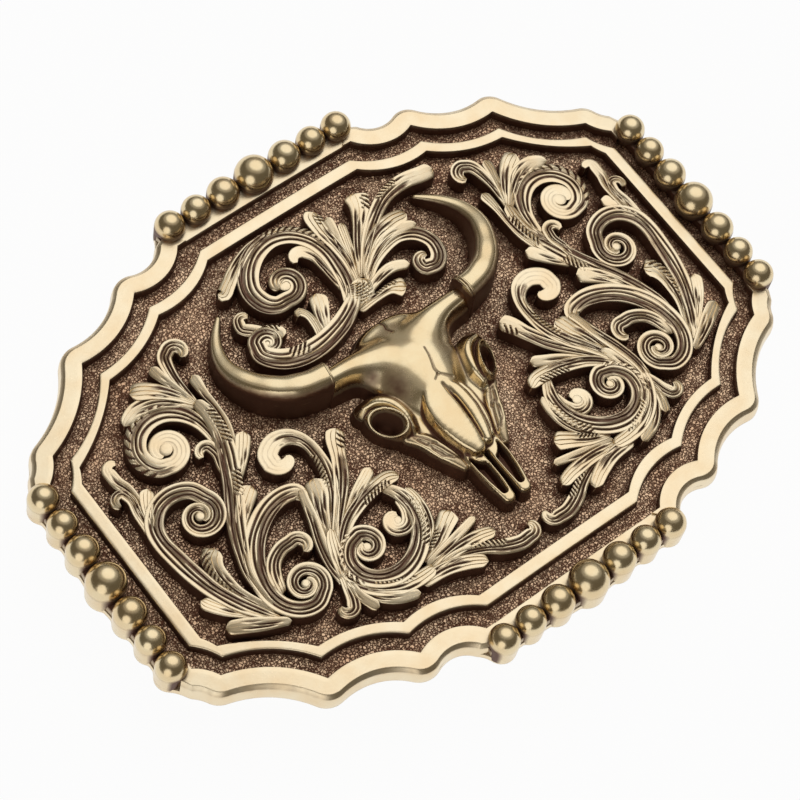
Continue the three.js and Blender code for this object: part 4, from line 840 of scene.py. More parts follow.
def beside_ornament(flat, sizes):
    """The floor's patina and painted shade: darkest right at the foot of the inner rim, the
    scrollwork, the skull and the horns, fading out over about a millimetre."""
    x, y = flat[..., 0], flat[..., 1]
    inside = inner_lines(sizes, 12, 2)[0]
    gap = near(x, y, np.concatenate([inside, inside[:1]]))
    for table, mirrors in ((SIDE_SCROLLS, (False, True)), (CROWN_SCROLLS, (False,))):
        for stem, curl in table:
            for mirror in mirrors:
                for px, py, half in ribbon_line(stem, curl, mirror, 0.9):
                    gap = np.minimum(gap, np.hypot(x - px, y - py) - half)
    horn = even(smooth(HORN, 6), 36)
    for sign in (1, -1):
        for px, py, _, half in horn:
            gap = np.minimum(gap, np.hypot(x - sign * px, y - py) - half)
    widths = np.array(SNOUT_WIDTHS + [row[:2] for row in CRANIUM])
    side = np.abs(x) - np.interp(y, widths[:, 0], widths[:, 1], 0, 0)
    gap = np.where((y > -21.5) & (y < 8.5), np.minimum(gap, side), gap)
    return 0.6 * np.exp(-np.maximum(gap - 0.1, 0) / 0.5)


# Rows and columns of the field's grid, points round the channel's band and shares across it, how
# far the channel goes in under the outer rims, the stipple's depth in each, and their foot's level.
FIELD_ROWS, FIELD_COLUMNS = 190, 262
CHANNEL_POINTS, CHANNEL_SHARES = 1499, np.linspace(0, 1, 19)
UNDER_RIM = 1.5
FIELD_STIPPLE, CHANNEL_STIPPLE = 0.06, 0.045
FLOOR_FOOT = -0.5


class BUCKLE_OT_floor(bpy.types.Operator):
    """The stippled field inside the inner rim and the stippled channel between the rims"""
    bl_idname = "buckle.floor"
    bl_label = "Stippled floor"

    def execute(self, context):
        sizes = context.scene.buckle_sizes
        radius, grain = mm(sizes.bend_radius), mm(sizes.grain)
        inside, outside = inner_lines(sizes)
        edge = (inside + outside) / 2
        half = edge[edge[:, 0] >= 0]
        half = half[np.argsort(half[:, 1])]
        y = np.linspace(half[0, 1], half[-1, 1], FIELD_ROWS)
        x = np.interp(y, half[:, 1], half[:, 0])[:, None] * np.linspace(-1, 1, FIELD_COLUMNS)
        flat = np.stack([x, np.broadcast_to(y[:, None], x.shape)], -1)
        grid = lifted(flat, stipple_height(flat, grain, FIELD_STIPPLE))
        shape = slab(grid, beside_ornament(flat, sizes), FLOOR_FOOT, radius)
        make_piece("field_floor", shape, "stippled floor", "plate", ["base_plate"],
                   ALL_SMOOTH)

        # The channel: a band from under the inner rim to under the outer rims and rails.
        outer = loop_line(outer_corner(sizes, UNDER_RIM, 48), 60)
        inner, outer = (even_loop(line, CHANNEL_POINTS) for line in (edge, outer))
        flat = inner[:, None] + (outer - inner)[:, None] * CHANNEL_SHARES[None, :, None]
        grid = lifted(flat, stipple_height(flat, grain, CHANNEL_STIPPLE))
        grid = np.concatenate([grid, lifted(flat[:, [-1, 0]], FLOOR_FOOT)], 1)
        spread = np.concatenate([CHANNEL_SHARES, [0, 0]])
        # Patina and painted shade across the channel: darkest at the foot of the inner rim, with a
        # broad darker band a little past halfway across.
        patina_and_shade = 0.7 * np.exp(-spread / 0.09) + 0.35 * np.exp(-np.abs(0.55 - spread) / 0.15)
        shape = Shape()
        shape.add_grid(bend(grid, radius), np.tile(patina_and_shade, len(grid)), close_rows=True)
        make_piece("channel_floor", shape, "stippled floor", "plate", ["base_plate"],
                   ALL_SMOOTH)
        return {"FINISHED"}


# A rail's outer edge: how far it lies inside the beads' circles, and its waves' depth. Its inner
# edge at the buckle's ends: how far it lies inside the line of the beads' middles.
RAIL_INSET, RAIL_WAVE = 0.14, 0.9
END_RAIL_INSIDE = 1.1


class BUCKLE_OT_rims(bpy.types.Operator):
    """The inner rim, the four outer rims and the four bead rails"""
    bl_idname = "buckle.rims"
    bl_label = "Rims"

    def execute(self, context):
        sizes = context.scene.buckle_sizes
        radius, height = mm(sizes.bend_radius), mm(sizes.rim_height)
        profile = section(height, (0.1, 0.1), 0.16, 0.16)
        shape = band(inner_lines(sizes), profile, RING_PATINA, radius, True)
        make_piece("inner_rim_band", shape, "antiqued gold", "plate", ["inner_rim"])
        inside = outer_corner(sizes, 0, run_on=RUN_ON)
        outside = outer_corner(sizes, mm(sizes.outer_rim_width), run_on=RUN_ON)
        profile = section(height, (0.08, 0.62), 0.16, 0.26)
        for name, sign in (("top_left", (-1, 1)), ("top_right", (1, 1)), ("bottom_left", (-1, -1)),
                           ("bottom_right", (1, -1))):
            lines = (inside * sign, outside * sign)
            if sign[0] * sign[1] < 0:
                lines = tuple(a[::-1] for a in lines)
            shape = band(lines, profile, RIM_PATINA_AND_SHADE, radius, False)
            make_piece("outer_rim_band_" + name, shape, "antiqued gold", "plate",
                       ["outer_rim_" + name])
        self.rails(sizes, radius)
        return {"FINISHED"}

    def rails(self, sizes, radius):
        """Each rail is a band from its straight inner edge to its lobed outer edge."""
        profile = section(mm(sizes.rail_height), (0.08, 0.1), 0.12, 0.12)
        along, reach = lobed_edge(-RAIL_INSET, RAIL_WAVE)
        top_start = mm(sizes.field_half_height + sizes.inner_rim_width + sizes.top_channel)
        for side, way in SIDES.items():
            out, run = np.array(way), np.array([way[1], -way[0]])
            level = middle_of("bead_%s_4" % side)[:2] @ out
            start = top_start if way[1] else level - END_RAIL_INSIDE
            inner = along[:, None] * run + start * out
            outer = along[:, None] * run + (level + reach)[:, None] * out
            # The end rails take the darker values: painted shade of their beads.
            patina_and_shade = RAIL_PATINA_AND_SHADE if way[1] else END_RAIL_PATINA_AND_SHADE
            shape = band((inner, outer), profile, patina_and_shade, radius, False)
            make_piece("bead_rail_band_" + side, shape, "antiqued gold", "plate",
                       ["bead_rail_" + side])


# Points round a bead, its radius as a share of its solid's, and the levels of its drum and its foot
# from its middle.
BEAD_SIDES = 72
BEAD_SHARE = 0.985
DRUM_LEVELS = np.array([-0.3, -0.6, -0.9, -1.4, -2.0, -2.9])
DRUM_FOOT = -2.95


class BUCKLE_OT_beads(bpy.types.Operator):
    """The polished beads, each a dome that stands on a drum let into its rail"""
    bl_idname = "buckle.beads"
    bl_label = "Beads"

    def execute(self, context):
        for node, centre, size, out in bead_places():
            make_piece(node.replace("bead", "ball"), self.ball(centre, size * BEAD_SHARE, out),
                       "polished gold", "plate", [node])
        return {"FINISHED"}

    def ball(self, centre, size, out):
        """A dome from its pole down to its middle; below that a straight drum on its outer side,
        and on its inner side the ball goes on. It is antiqued and painted with shade where it meets
        its neighbours and its rail."""
        angle = np.linspace(np.pi / 2, 0, 24)[1:]
        level = np.concatenate([np.sin(angle), DRUM_LEVELS / size])
        ring = on_circle(np.linspace(0, TAU, BEAD_SIDES, endpoint=False))
        outer = step_up(ring @ out, -0.35, 0.35)
        round_share = np.sqrt(1 - np.clip(level, -0.62, 1) ** 2)[:, None]
        share = np.where(level[:, None] > 0, round_share,
                         round_share + (1.012 - round_share) * outer)
        share = np.concatenate([share, share[-1:] * 0.9])
        level = np.concatenate([level, [DRUM_FOOT / size]])
        flat = centre[:2] + (size * share)[..., None] * ring
        points = lifted(flat, size * level[:, None] + centre[2]).reshape(-1, 3)
        # Painted shade with the antiquing: the lower part darkens towards its neighbours and on its
        # inner side, with a dark line round its seam.
        low = np.interp(level, [-0.3, 0.0, 0.2, 0.45], [1, 0.85, 0.3, 0])[:, None]
        beside = step_up(np.abs(ring @ out[::-1]), 0.55, 0.95)
        inside = 0.8 * (1 - outer)
        seam = np.interp(level, [-0.3, -0.1, 0.02, 0.2], [0.05, 0.22, 0.22, 0])[:, None]
        dark = np.maximum(low * np.maximum(beside, inside), seam)
        poles = [[*centre[:2], centre[2] + size], [*centre[:2], centre[2] + DRUM_FOOT]]
        shape = Shape()
        shape.add(np.concatenate([points, poles]), ring_faces(len(level), BEAD_SIDES),
                  np.concatenate([dark.ravel(), [0, 1]]))
        return shape


# Scrollwork


def ribbon_line(stem, curl, mirror, step):
    """A ribbon's centre line as [x, y, half width]: its stem made smooth, then its curl, a spiral
    whose radius and half width change evenly with the angle."""
    points = smooth(stem, 10)
    if curl:
        x, y, end, width, turns, way = curl
        start = points[-1]
        radius = np.hypot(start[0] - x, start[1] - y)
        share = np.linspace(0, 1, max(int(50 * turns), 16))[1:]
        angle = np.arctan2(start[1] - y, start[0] - x) + way * TAU * turns * share
        reach = radius + (end - radius) * share
        half = np.minimum(start[2] + (width - start[2]) * share, 0.97 * reach)
        points = np.concatenate([points, lifted([x, y] + reach[:, None] * on_circle(angle), half)])
    total = np.hypot(*np.diff(points[:, :2], axis=0).T).sum()
    points = even(points, max(int(total / step), 12))
    return points * [-1, 1, 1] if mirror else points


def step_up(value, low, high):
    """0 below low, 1 above high, and a smooth step between."""
    t = np.clip((value - low) / (high - low), 0, 1)
    return t * t * (3 - 2 * t)


def carve(s, total, v, half, seed, curled, ropes):
    """How deep, from 0 to 1 or a little more, a ribbon's top is cut at a distance s along it and a
    share v across it: long engraved lines that leave a leaf's tip smooth, a hollow between two of
    them, and roped stretches of slanting cuts, each from and to a share of the length, on one side,
    down to a share of the width, with a spacing."""
    side = 1 if seed % 2 else -1
    stop = (0.9 if curled == 1 else 0.34 * total) if curled else 2.0 + 0.12 * total
    cut = np.zeros(np.broadcast(s, v).shape)
    for k, (place, low) in enumerate(((-0.52, 0.0), (-0.02, 0.55), (0.46, 0.85), (-0.8, 1.15))):
        width = 0.12 / np.maximum(half, 0.3)
        wander = 0.06 * np.sin(s * 0.6 + place * 9 + seed)
        line = np.exp(-((v * side - place - wander) / width) ** 2)
        begin = 0.4 + 0.35 * ((seed * 7 + k * 3) % 5)
        end = stop * (0.75 + 0.2 * ((seed * 5 + k * 2) % 4))
        fade = step_up(s, begin, begin + 1.6) * step_up(total - s, end - 0.6, end + 1.2)
        cut = np.maximum(cut, line * fade * step_up(half, low, low + 0.15))
    off = v * side + 0.48 + 0.05 * np.sin(s * 0.5 + seed)
    band = step_up(0.27 - np.abs(off), 0, 0.06) * (1 - 0.85 * np.exp(-(off * half / 0.06) ** 2))
    fade = step_up(s, 1.0, 3.0) * step_up(total - s, 0.8 * stop, 0.8 * stop + 1.5)
    cut = np.maximum(cut, 0.5 * band * fade * step_up(half, 0.85, 1.0))
    for start, end, edge, deep, spacing in ropes:
        slant = (s + 0.8 * half * v * edge) / spacing
        taper = np.clip((v * edge - deep) / (1 - deep), 0, 1)
        wave = step_up(np.cos(TAU * slant) - 0.85 + 1.1 * taper, 0.0, 0.4)
        reach = step_up(v * edge, deep, deep + 0.12) * step_up(1.04 - np.abs(v), 0, 0.1)
        span = step_up(s / total, start, start + 0.03) * step_up(end - s / total, 0, 0.03)
        cut = np.maximum(cut * (1 - reach * span), 1.5 * wave * reach * span)
    return cut


# The level that the scrollwork's walls go down to under the field.
RIBBON_FOOT = -0.25


def ribbon(line, seed, curled, ropes, height, depth):
    """One ribbon of the scrollwork as a closed grid: a nearly flat top in slightly tilted bands,
    cut by its lines, with crisp edges and drafted walls that go down into the field."""
    gaps = np.hypot(*np.diff(line[:, :2], axis=0).T)
    s = np.concatenate([[0], np.cumsum(gaps)])
    total = s[-1]
    half = line[:, 2]
    ends = np.minimum(np.clip(s / half, 0, 1), np.clip((total - s) / np.minimum(half, 0.8), 0, 1))
    half = half * np.maximum(np.sqrt(1 - (1 - ends) ** 2), 0.06)
    v = np.sin(np.linspace(-1, 1, 39) * 1.35) / np.sin(1.35)
    rng = np.random.default_rng(seed)
    side = 1 if seed % 2 else -1
    level = height + rng.uniform(-0.14, 0.06) - 0.4 * np.exp(-s / 1.3)
    level = level - 0.12 * np.exp(-(total - s) / 0.7)
    bands = np.interp(v * side, [-1, -0.53, -0.51, -0.03, -0.01, 0.45, 0.47, 1],
                      [0.0, 0.14, 0.0, 0.13, 0.0, 0.12, 0.0, 0.08])
    share = np.minimum(half, 1.1)[:, None]
    if curled == 2:
        share = share * (1 - 0.8 * step_up(s / total, 0.55, 0.75))[:, None]
    top = (level[:, None] - 0.07 * np.abs(v) ** 10 + bands * share
           + rng.uniform(-0.05, 0.05) * v + 0.03 * np.sin(s[:, None] * 0.5 + seed))
    cut = carve(s[:, None], total, v[None], half[:, None], seed, curled, ropes)
    top = top - cut * depth
    flat = line[:, None, :2] + across(line)[:, None] * (half[:, None] * v[None])[..., None]
    walls = []
    for sign, edge in ((-1, 0), (1, -1)):
        for extra, share in ((0.02, 0.93), (0.07, 0.5), (0.14, 0.0)):
            out = line[:, :2] + across(line) * (sign * (half + extra))[:, None]
            walls.append(lifted(out, (top[:, edge] - 0.04) * share if share else RIBBON_FOOT))
    left, right = np.stack(walls[:3][::-1], 1), np.stack(walls[3:], 1)
    grid = np.concatenate([left, lifted(flat, top), right], 1)
    rise = np.array([1.0, 1.0, 0.85])
    # Painted shade: the low side of each tilted band is darker, except near the ribbon's end.
    low = np.clip(1 - bands / 0.07, 0, 1) * 0.3 * step_up(total - s, 1.0, 3.0)[:, None]
    patina_and_shade = np.concatenate([np.broadcast_to(rise, (len(s), 3)), np.clip(cut * 1.2 + low, 0, 0.88),
                             np.broadcast_to(rise[::-1], (len(s), 3))], 1)
    return grid, patina_and_shade


EYE_SIDES = 28


def eye_dome(x, y, radius, top):
    """A low dome that fills a volute's middle, as a closed grid."""
    share = np.array([1.08, 1.02, 1.0, 0.92, 0.75, 0.5, 0.25, 0.04])
    rise = np.array([RIBBON_FOOT, 0.5 * top, 0.9 * top, top + 0.02, top + 0.07, top + 0.1,
                     top + 0.11, top + 0.11])
    ring = on_circle(np.linspace(0, TAU, EYE_SIDES, endpoint=False)) * radius
    flat = ring * share[:, None, None] + [x, y]
    return lifted(flat, rise[:, None]), np.repeat([1, 0.9, 0.5, 0.1, 0, 0, 0, 0], EYE_SIDES)


# Roped stretches by a ribbon's place in its table: each from and to a share of its length, the side
# of its way that it lies on, the share of the half width it reaches in to, and its cuts' spacing.
SIDE_ROPES = {
    1: [(0.45, 0.95, 1, 0.1, 0.65)],
    9: [(0.52, 0.66, -1, -0.1, 0.62), (0.76, 0.95, -1, -0.2, 0.62)],
    10: [(0.28, 0.66, -1, 0.35, 1.0)], 21: [(0.3, 0.52, 1, 0.1, 0.6)],
    22: [(0.8, 0.97, -1, 0.0, 0.85)], 25: [(0.55, 0.9, -1, 0.0, 0.6)],
    26: [(0.1, 0.3, 1, 0.0, 0.6), (0.55, 0.75, 1, 0.4, 0.7)], 29: [(0.2, 0.6, 1, 0.1, 0.55)],
    32: [(0.3, 0.62, 1, 0.0, 0.6)], 35: [(0.35, 0.8, 1, 0.2, 0.6)],
}
CROWN_ROPES = {
    0: [(0.22, 0.45, -1, 0.35, 0.75)], 3: [(0.42, 0.56, -1, -0.1, 0.75)],
    4: [(0.2, 0.8, 1, 0.1, 0.5)], 8: [(0.8, 0.97, -1, 0.0, 0.62)],
    11: [(0.8, 0.97, -1, 0.15, 0.7)], 12: [(0.55, 0.75, 1, 0.2, 0.55)],
    17: [(0.4, 0.85, 1, 0.3, 0.5)], 18: [(0.15, 0.85, 1, -0.9, 0.5)],
}
# Ribbons whose curl is a smooth disc, without lines of its own.
SIDE_PLAIN = (5, 10, 21, 27)
CROWN_PLAIN = (1,)
# Ribbons in one modelled piece; turns of a curl over which its volute gets an eye; and the spacing
# of points along a ribbon, with and without roped stretches.
RIBBONS = 10
EYE_TURNS = 0.75
ROPED_STEP, PLAIN_STEP = 0.12, 0.25


class BUCKLE_OT_scrollwork(bpy.types.Operator):
    """The engraved scrollwork: grooved ribbons, volutes, leaves with cut tips and roped stems"""
    bl_idname = "buckle.scrollwork"
    bl_label = "Scrollwork"

    def execute(self, context):
        sizes = context.scene.buckle_sizes
        self.group("scroll_left", SIDE_SCROLLS, SIDE_ROPES, SIDE_PLAIN, False, sizes)
        self.group("scroll_right", SIDE_SCROLLS, SIDE_ROPES, SIDE_PLAIN, True, sizes)
        self.group("scroll_crown", CROWN_SCROLLS, CROWN_ROPES, CROWN_PLAIN, False, sizes)
        return {"FINISHED"}

    def group(self, node, table, ropes, plain, mirror, sizes):
        """A group's ribbons, in pieces of RIBBONS each; a volute of many turns gets an eye."""
        height, depth = mm(sizes.scroll_height), mm(sizes.groove_depth)
        radius = mm(sizes.bend_radius)
        for first in range(0, len(table), RIBBONS):
            shape = Shape()
            for i, (stem, curl) in enumerate(table[first:first + RIBBONS], first):
                line = ribbon_line(stem, curl, mirror, ROPED_STEP if i in ropes else PLAIN_STEP)
                cuts = [(a, b, -side if mirror else side, deep, gap)
                        for a, b, side, deep, gap in ropes.get(i, [])]
                seed = i + 2 if mirror else i + 1
                curled = 0 if not curl else 2 if i in plain else 1
                grid, patina_and_shade = ribbon(line, seed, curled, cuts, height, depth)
                shape.add_grid(bend(grid, radius), patina_and_shade.ravel())
                if curl and curl[4] > EYE_TURNS:
                    x, y, end = curl[:3]
                    grid, patina_and_shade = eye_dome(-x if mirror else x, y, end + 0.12, height - 0.15)
                    shape.add_grid(bend(grid, radius), patina_and_shade)
            make_piece("%s_part_%d" % (node, first // RIBBONS + 1), shape, "antiqued gold",
                       "plate", [node], 40.0)


# The longhorn skull


def from_stretch(x, y, a, b):
    """Each point's place along the straight stretch from a to b, as a share held to it, and its
    distance from the stretch."""
    way = b[:2] - a[:2]
    t = np.clip(((x - a[0]) * way[0] + (y - a[1]) * way[1]) / (way @ way), 0, 1)
    return t, np.hypot(x - a[0] - t * way[0], y - a[1] - t * way[1])


def ridge(x, y, line, rise=None, side=9.0):
    """The height of a ridge along a line of [x, y, half width, height]: rounded over its width by a
    rise, or half round, with steep walls beyond it."""
    best = np.full(x.shape, -9.0)
    line = smooth(line, 4)
    for a, b in zip(line[:-1], line[1:]):
        t, far = from_stretch(x, y, a, b)
        half, top = a[2] + (b[2] - a[2]) * t, a[3] + (b[3] - a[3]) * t
        q = np.minimum(far / half, 1)
        drop = half if rise is None else rise
        value = top - drop * (1 - np.sqrt(1 - 0.96 * q * q)) - side * np.maximum(far - half, 0)
        value -= 6 * np.maximum(far - half - 1, 0)
        best = np.maximum(best, value)
    return best


def near(x, y, line):
    """The distance from each point to a line of [x, y, ...]."""
    best = np.full(x.shape, 99.0)
    line = np.asarray(line, float)
    for a, b in zip(line[:-1], line[1:]):
        best = np.minimum(best, from_stretch(x, y, a, b)[1])
    return best


def on_side(line, sign):
    """A line's points where they are, or mirrored from right to left where sign is -1."""
    return [[sign * p[0], *p[1:]] for p in line]


def blurred(height, cells):
    """The mean height over a square of cells, from running sums along each way."""
    for axis in (0, 1):
        pad = [(cells + 1, cells) if a == axis else (0, 0) for a in (0, 1)]
        total = np.cumsum(np.pad(height, pad, mode="edge"), axis=axis)
        here = np.arange(height.shape[axis])
        low, high = (np.take(total, here + start, axis=axis) for start in (0, 2 * cells + 1))
        height = (high - low) / (2 * cells + 1)
    return height


# The forehead: [up, half width, height of its middle, height of its edge].
CRANIUM = [[-6.5, 2.6, 4.3, 3.2], [-5, 3.4, 4.7, 3.2], [-3.5, 4.3, 5.05, 3.2],
           [-1.2, 5.4, 5.4, 3.0], [0.8, 6.3, 5.6, 2.9], [2.2, 6.9, 5.45, 2.9],
           [3.4, 7.1, 5.05, 2.8], [4.8, 6.6, 4.4, 2.5], [6, 5.8, 3.8, 2.4], [7.2, 4.7, 3.25, 2.2],
           [7.9, 3.6, 2.95, 2.1], [8.4, 2.4, 2.7, 2.0]]
# Ridges of [x, y, half width, height], and lines of [x, y] or [x, y, half width]; those that lie on
# one side are mirrored on the other, but for the two nasal bones.
NOSE = [[0, -4, 2.7, 4.3], [0, -7, 3.1, 4.15], [0, -10, 2.7, 4.0], [0, -11.8, 1.8, 3.75]]
NASAL_LEFT = [[-0.7, -3.4, 0.9, 4.95], [-1.15, -5.4, 1.85, 5.05], [-1.3, -8, 2.05, 5.0],
              [-1.05, -10.8, 1.7, 4.7], [-0.75, -12.8, 1.15, 4.35]]
NASAL_RIGHT = [[1.2, -3.8, 0.4, 4.85], [1.75, -5.6, 0.8, 4.9], [1.85, -8, 0.85, 4.8],
               [1.55, -10.8, 0.75, 4.5], [1.05, -12.8, 0.6, 4.2]]
FACE = [[3.4, -1, 2.3, 4.0], [4.4, -4.4, 1.9, 3.2], [4.2, -7, 1.8, 2.8], [3.6, -10, 1.6, 2.6],
        [2.9, -13, 1.3, 2.5]]
NASAL_FLANK = [[2.7, -5.2, 0.5, 4.2], [3.0, -7, 0.6, 4.05], [2.75, -10, 0.55, 3.85],
               [2.1, -12.4, 0.4, 3.5]]
LID = [[8.9, -0.6, 0.35, 3.6], [7.4, -1.0, 0.45, 4.4], [6.2, -2.2, 0.5, 4.75],
       [5.6, -4.2, 0.45, 4.6], [5.7, -6.2, 0.35, 4.0]]
CHEEK = [[6.9, -6.9, 0.6, 2.9], [5.5, -8.3, 1.0, 3.3], [4.7, -10.2, 1.05, 3.3],
         [3.8, -12.4, 0.85, 3.1], [3.3, -14.0, 0.5, 2.8]]
CHEEK_FOLDS = [[[6.2, -7.0], [5.0, -8.6], [4.1, -10.4], [3.2, -12.6]],
               [[6.1, -7.9], [5.3, -9.6], [4.5, -11.4]],
               [[6.3, -7.3], [5.6, -8.9], [4.4, -9.5]], [[5.3, -9.9], [4.9, -11.3], [3.7, -12.3]]]
PRONG = [[1.5, -13.0, 1.2, 2.9], [1.5, -15.5, 1.2, 3.1], [1.4, -18, 1.1, 3.1],
         [1.25, -20.2, 0.9, 2.9]]
PRONG_SLOT = [[1.5, -13.6, 0.7], [1.5, -15.5, 0.68], [1.4, -17.5, 0.56], [1.3, -19.3, 0.32]]
CORE = [[3.0, 3.6, 2.7, 4.7], [5.4, 4.3, 2.2, 4.85], [7.8, 4.75, 1.6, 4.95],
        [10.4, 4.9, 1.35, 5.0]]
BUMP = [[0.9, 7.5, 0.6, 2.85], [2.8, 7.1, 0.7, 2.9], [4.2, 6.3, 0.6, 2.9]]
# The eye socket: its centre, the way it faces, the way of its long axis and its two radii.
ORBIT = (8.0, -4.1, 4.0)
ORBIT_FACING = np.array((0.75, -0.3, 0.59))
ORBIT_LONG = np.array((-0.565, -0.755, 0.334))
ORBIT_RADII = (2.95, 2.15)
# Cracks and creases, each with its half width and depth.
CRACKS = [
    ([[0.0, 8.6], [0.15, 7.2], [-0.1, 6.5], [0.2, 5.7]], 0.13, 0.3),
    ([[1.7, 1.2], [1.5, 0], [1.25, -0.8], [0.85, -1.9], [0.9, -2.7]], 0.08, 0.24),
    ([[0.9, -2.7], [0.1, -3.2]], 0.08, 0.22),
    ([[0.9, -2.7], [1.6, -3.3], [2.4, -3.9]], 0.08, 0.22),
    ([[0.6, -4.0], [0.85, -6.5], [0.9, -9], [0.5, -12.4]], 0.1, 0.25),
    ([[2.5, -5.3], [2.75, -8.5], [2.2, -12]], 0.12, 0.3),
]


def eye_socket(x, y, sign):
    """The height of an oval eye socket: its plane is tilted outwards, a thin raised rim runs round
    it, a bowl sinks inside it and a wall falls from it; also how far inside the rim a point is."""
    dx, dy = x * sign - ORBIT[0], y - ORBIT[1]
    normal = ORBIT_FACING / np.linalg.norm(ORBIT_FACING)
    short = np.cross(normal, ORBIT_LONG)
    flat = np.hypot(*normal[:2])
    u = np.clip((dx * normal[0] + dy * normal[1]) / flat, -1.9, 1.9)
    rise = -u * flat / normal[2] * 0.9
    a = (dx * ORBIT_LONG[0] + dy * ORBIT_LONG[1] + rise * ORBIT_LONG[2]) / ORBIT_RADII[0]
    b = (dx * short[0] + dy * short[1] + rise * short[2]) / ORBIT_RADII[1]
    rho = np.hypot(a, b) * 2.5
    rim = 0.25 * np.exp(-((rho - 2.22) / 0.24) ** 2)
    bowl = 1.9 * step_up(1.95 - rho, 0.0, 1.3) + 0.5 * step_up(2.05 - rho, 0.0, 0.3)
    wall = 7.0 * np.maximum(rho - 2.5, 0)
    return ORBIT[2] + rise + rim - bowl - wall, np.clip(2.08 - rho, 0, 1)


def blend(a, b, width):
    """The higher of two heights, with a fillet where they are within a width of each other."""
    close = np.clip(1 - np.abs(a - b) / width, 0, 1)
    return np.maximum(a, b) + close ** 2 * width / 4


def skull_relief(x, y):
    """The skull's height over the field and its patina and painted shade: its parts blended into
    each other, cut by its sockets, slots and cracks; sockets, slots, cuts and the folds of the
    cheeks are dark, and painted shade darkens the flanks of the forehead and the crown."""
    table = np.array(CRANIUM)
    half, middle, edge = (np.interp(y, table[:, 0], column) for column in table[:, 1:].T)
    q = np.minimum(np.abs(x) / half, 1)
    power = np.where(x > 0, np.interp(y, [-3, 3], [3.2, 2.1]), 2.1)
    height = edge + (middle - edge) * (1 - q ** power) - 5 * np.maximum(np.abs(x) - half, 0)
    height -= 7 * (np.maximum(table[0, 0] - y, 0) + np.maximum(y - table[-1, 0], 0))
    for sign in (1, -1):
        for line, rise, wall, width in ((FACE, 1.3, 2.5, 1.2), (CORE, None, 4, 1.5),
                                        (BUMP, 0.8, 3, 1.0)):
            height = blend(height, ridge(x, y, on_side(line, sign), rise, wall), width)
    height = blurred(blurred(height, 4), 4)
    for line, rise, width in ((NOSE, 0.9, 0.5), (NASAL_LEFT, 0.55, 0.25), (NASAL_RIGHT, 0.45, 0.15),
                              (NASAL_FLANK, 0.4, 0.1), (on_side(NASAL_FLANK, -1), 0.4, 0.1)):
        height = blend(height, ridge(x, y, line, rise), width)
    slot = np.full(x.shape, 9.0)
    inside, folds = np.zeros(x.shape), np.zeros(x.shape)
    for sign in (1, -1):
        cheek, prong, lid, gap = (on_side(line, sign) for line in (CHEEK, PRONG, LID, PRONG_SLOT))
        height = blend(height, ridge(x, y, cheek, 0.5), 0.4)
        for fold in CHEEK_FOLDS:
            groove = np.exp(-(near(x, y, on_side(fold, sign)) / 0.14) ** 2)
            height = height - 0.24 * groove
            folds = np.maximum(folds, 0.6 * groove)
        # A broad darkening along each cheek, within about a millimetre of its ridge line.
        folds = np.maximum(folds, 0.34 * np.exp(-(near(x, y, cheek) / 0.9) ** 2))
        height = np.maximum(height, ridge(x, y, prong, 0.3))
        height = blend(height, ridge(x, y, lid, 0.3, 1.7), 0.5)
        socket, within = eye_socket(x, y, sign)
        height = np.where(within > 0, np.minimum(height, socket), height)
        height = blend(height, socket, 0.2 * (within <= 0) + 1e-6)
        inside = np.maximum(inside, within)
        for a, b in zip(gap[:-1], gap[1:]):
            slot = np.minimum(slot, near(x, y, [a, b]) - np.interp(y, [b[1], a[1]], [b[2], a[2]]))
    dark = np.maximum(np.clip(inside * 1.8, 0, 0.97), folds)
    parting = np.exp(-(near(x, y, [[0, -14.6], [0, -21]]) / 0.2) ** 2) * step_up(-y, 16.5, 20.5)
    height = height - 1.6 * parting
    snout = ridge(x, y, [[0, -10, 2.9, 4], [0, -12.6, 2.1, 4], [0, -13.4, 1.7, 4]]) > 0
    pit = step_up(-slot, -0.1, 0.1) * ~snout
    height = height - 2.0 * pit
    dark = np.maximum(dark, np.maximum(pit, parting))
    for line, width, depth in CRACKS:
        cut = np.exp(-(near(x, y, line) / width) ** 2)
        height = height - depth * cut
        dark = np.maximum(dark, 0.85 * cut * min(depth * 3.2, 1))
    # Painted shade: dark patches on the flanks of the forehead, stronger on the left, and over the
    # crown.
    flanks = np.exp(-((np.abs(x) - 4.2) / 1.8) ** 2 - ((y + 0.9) / 3.0) ** 2)
    flanks = np.maximum(flanks, np.exp(-((np.abs(x) - 5.9) / 1.3) ** 2 - ((y - 2) / 1.5) ** 2))
    crown = np.exp(-(x / 2.6) ** 2 - ((y - 6.2) / 1.3) ** 2)
    dark = np.maximum(dark, np.where(x > 0, 0.35, 0.57) * flanks + 0.36 * crown)
    height = height + 0.03 * value_noise(x, y, 2.3, 8) + 0.008 * value_noise(x, y, 0.9, 9)
    return height, dark


def relief_patina_and_shade(height, spacing, dark):
    """The patina and painted shade of a relief: its cuts and given dark marks, painted shade on its
    steep walls the lower they go, and patina in its hollows.
    """
    slope = np.hypot(*np.gradient(height, spacing))
    low = np.clip(1.25 - height / 2.9, 0, 1)
    walls = step_up(slope, 1.2, 4.0) * np.clip(1.3 * low - 0.05, 0, 1)
    hollow = np.clip((blurred(height, 5) - height) / 0.28, 0, 1) * 0.9
    return np.clip(np.maximum(np.maximum(dark, walls), hollow), 0, 1)


# The skull's grid: its spacing and its extent across and up; the level under the field at which its
# relief is cut off, and its foot's.
SKULL_SPACING = 0.09
SKULL_ACROSS, SKULL_UP = (-11.2, 11.21), (-22.4, 9.61)
SKULL_LOWEST, SKULL_FOOT = -0.45, -0.75


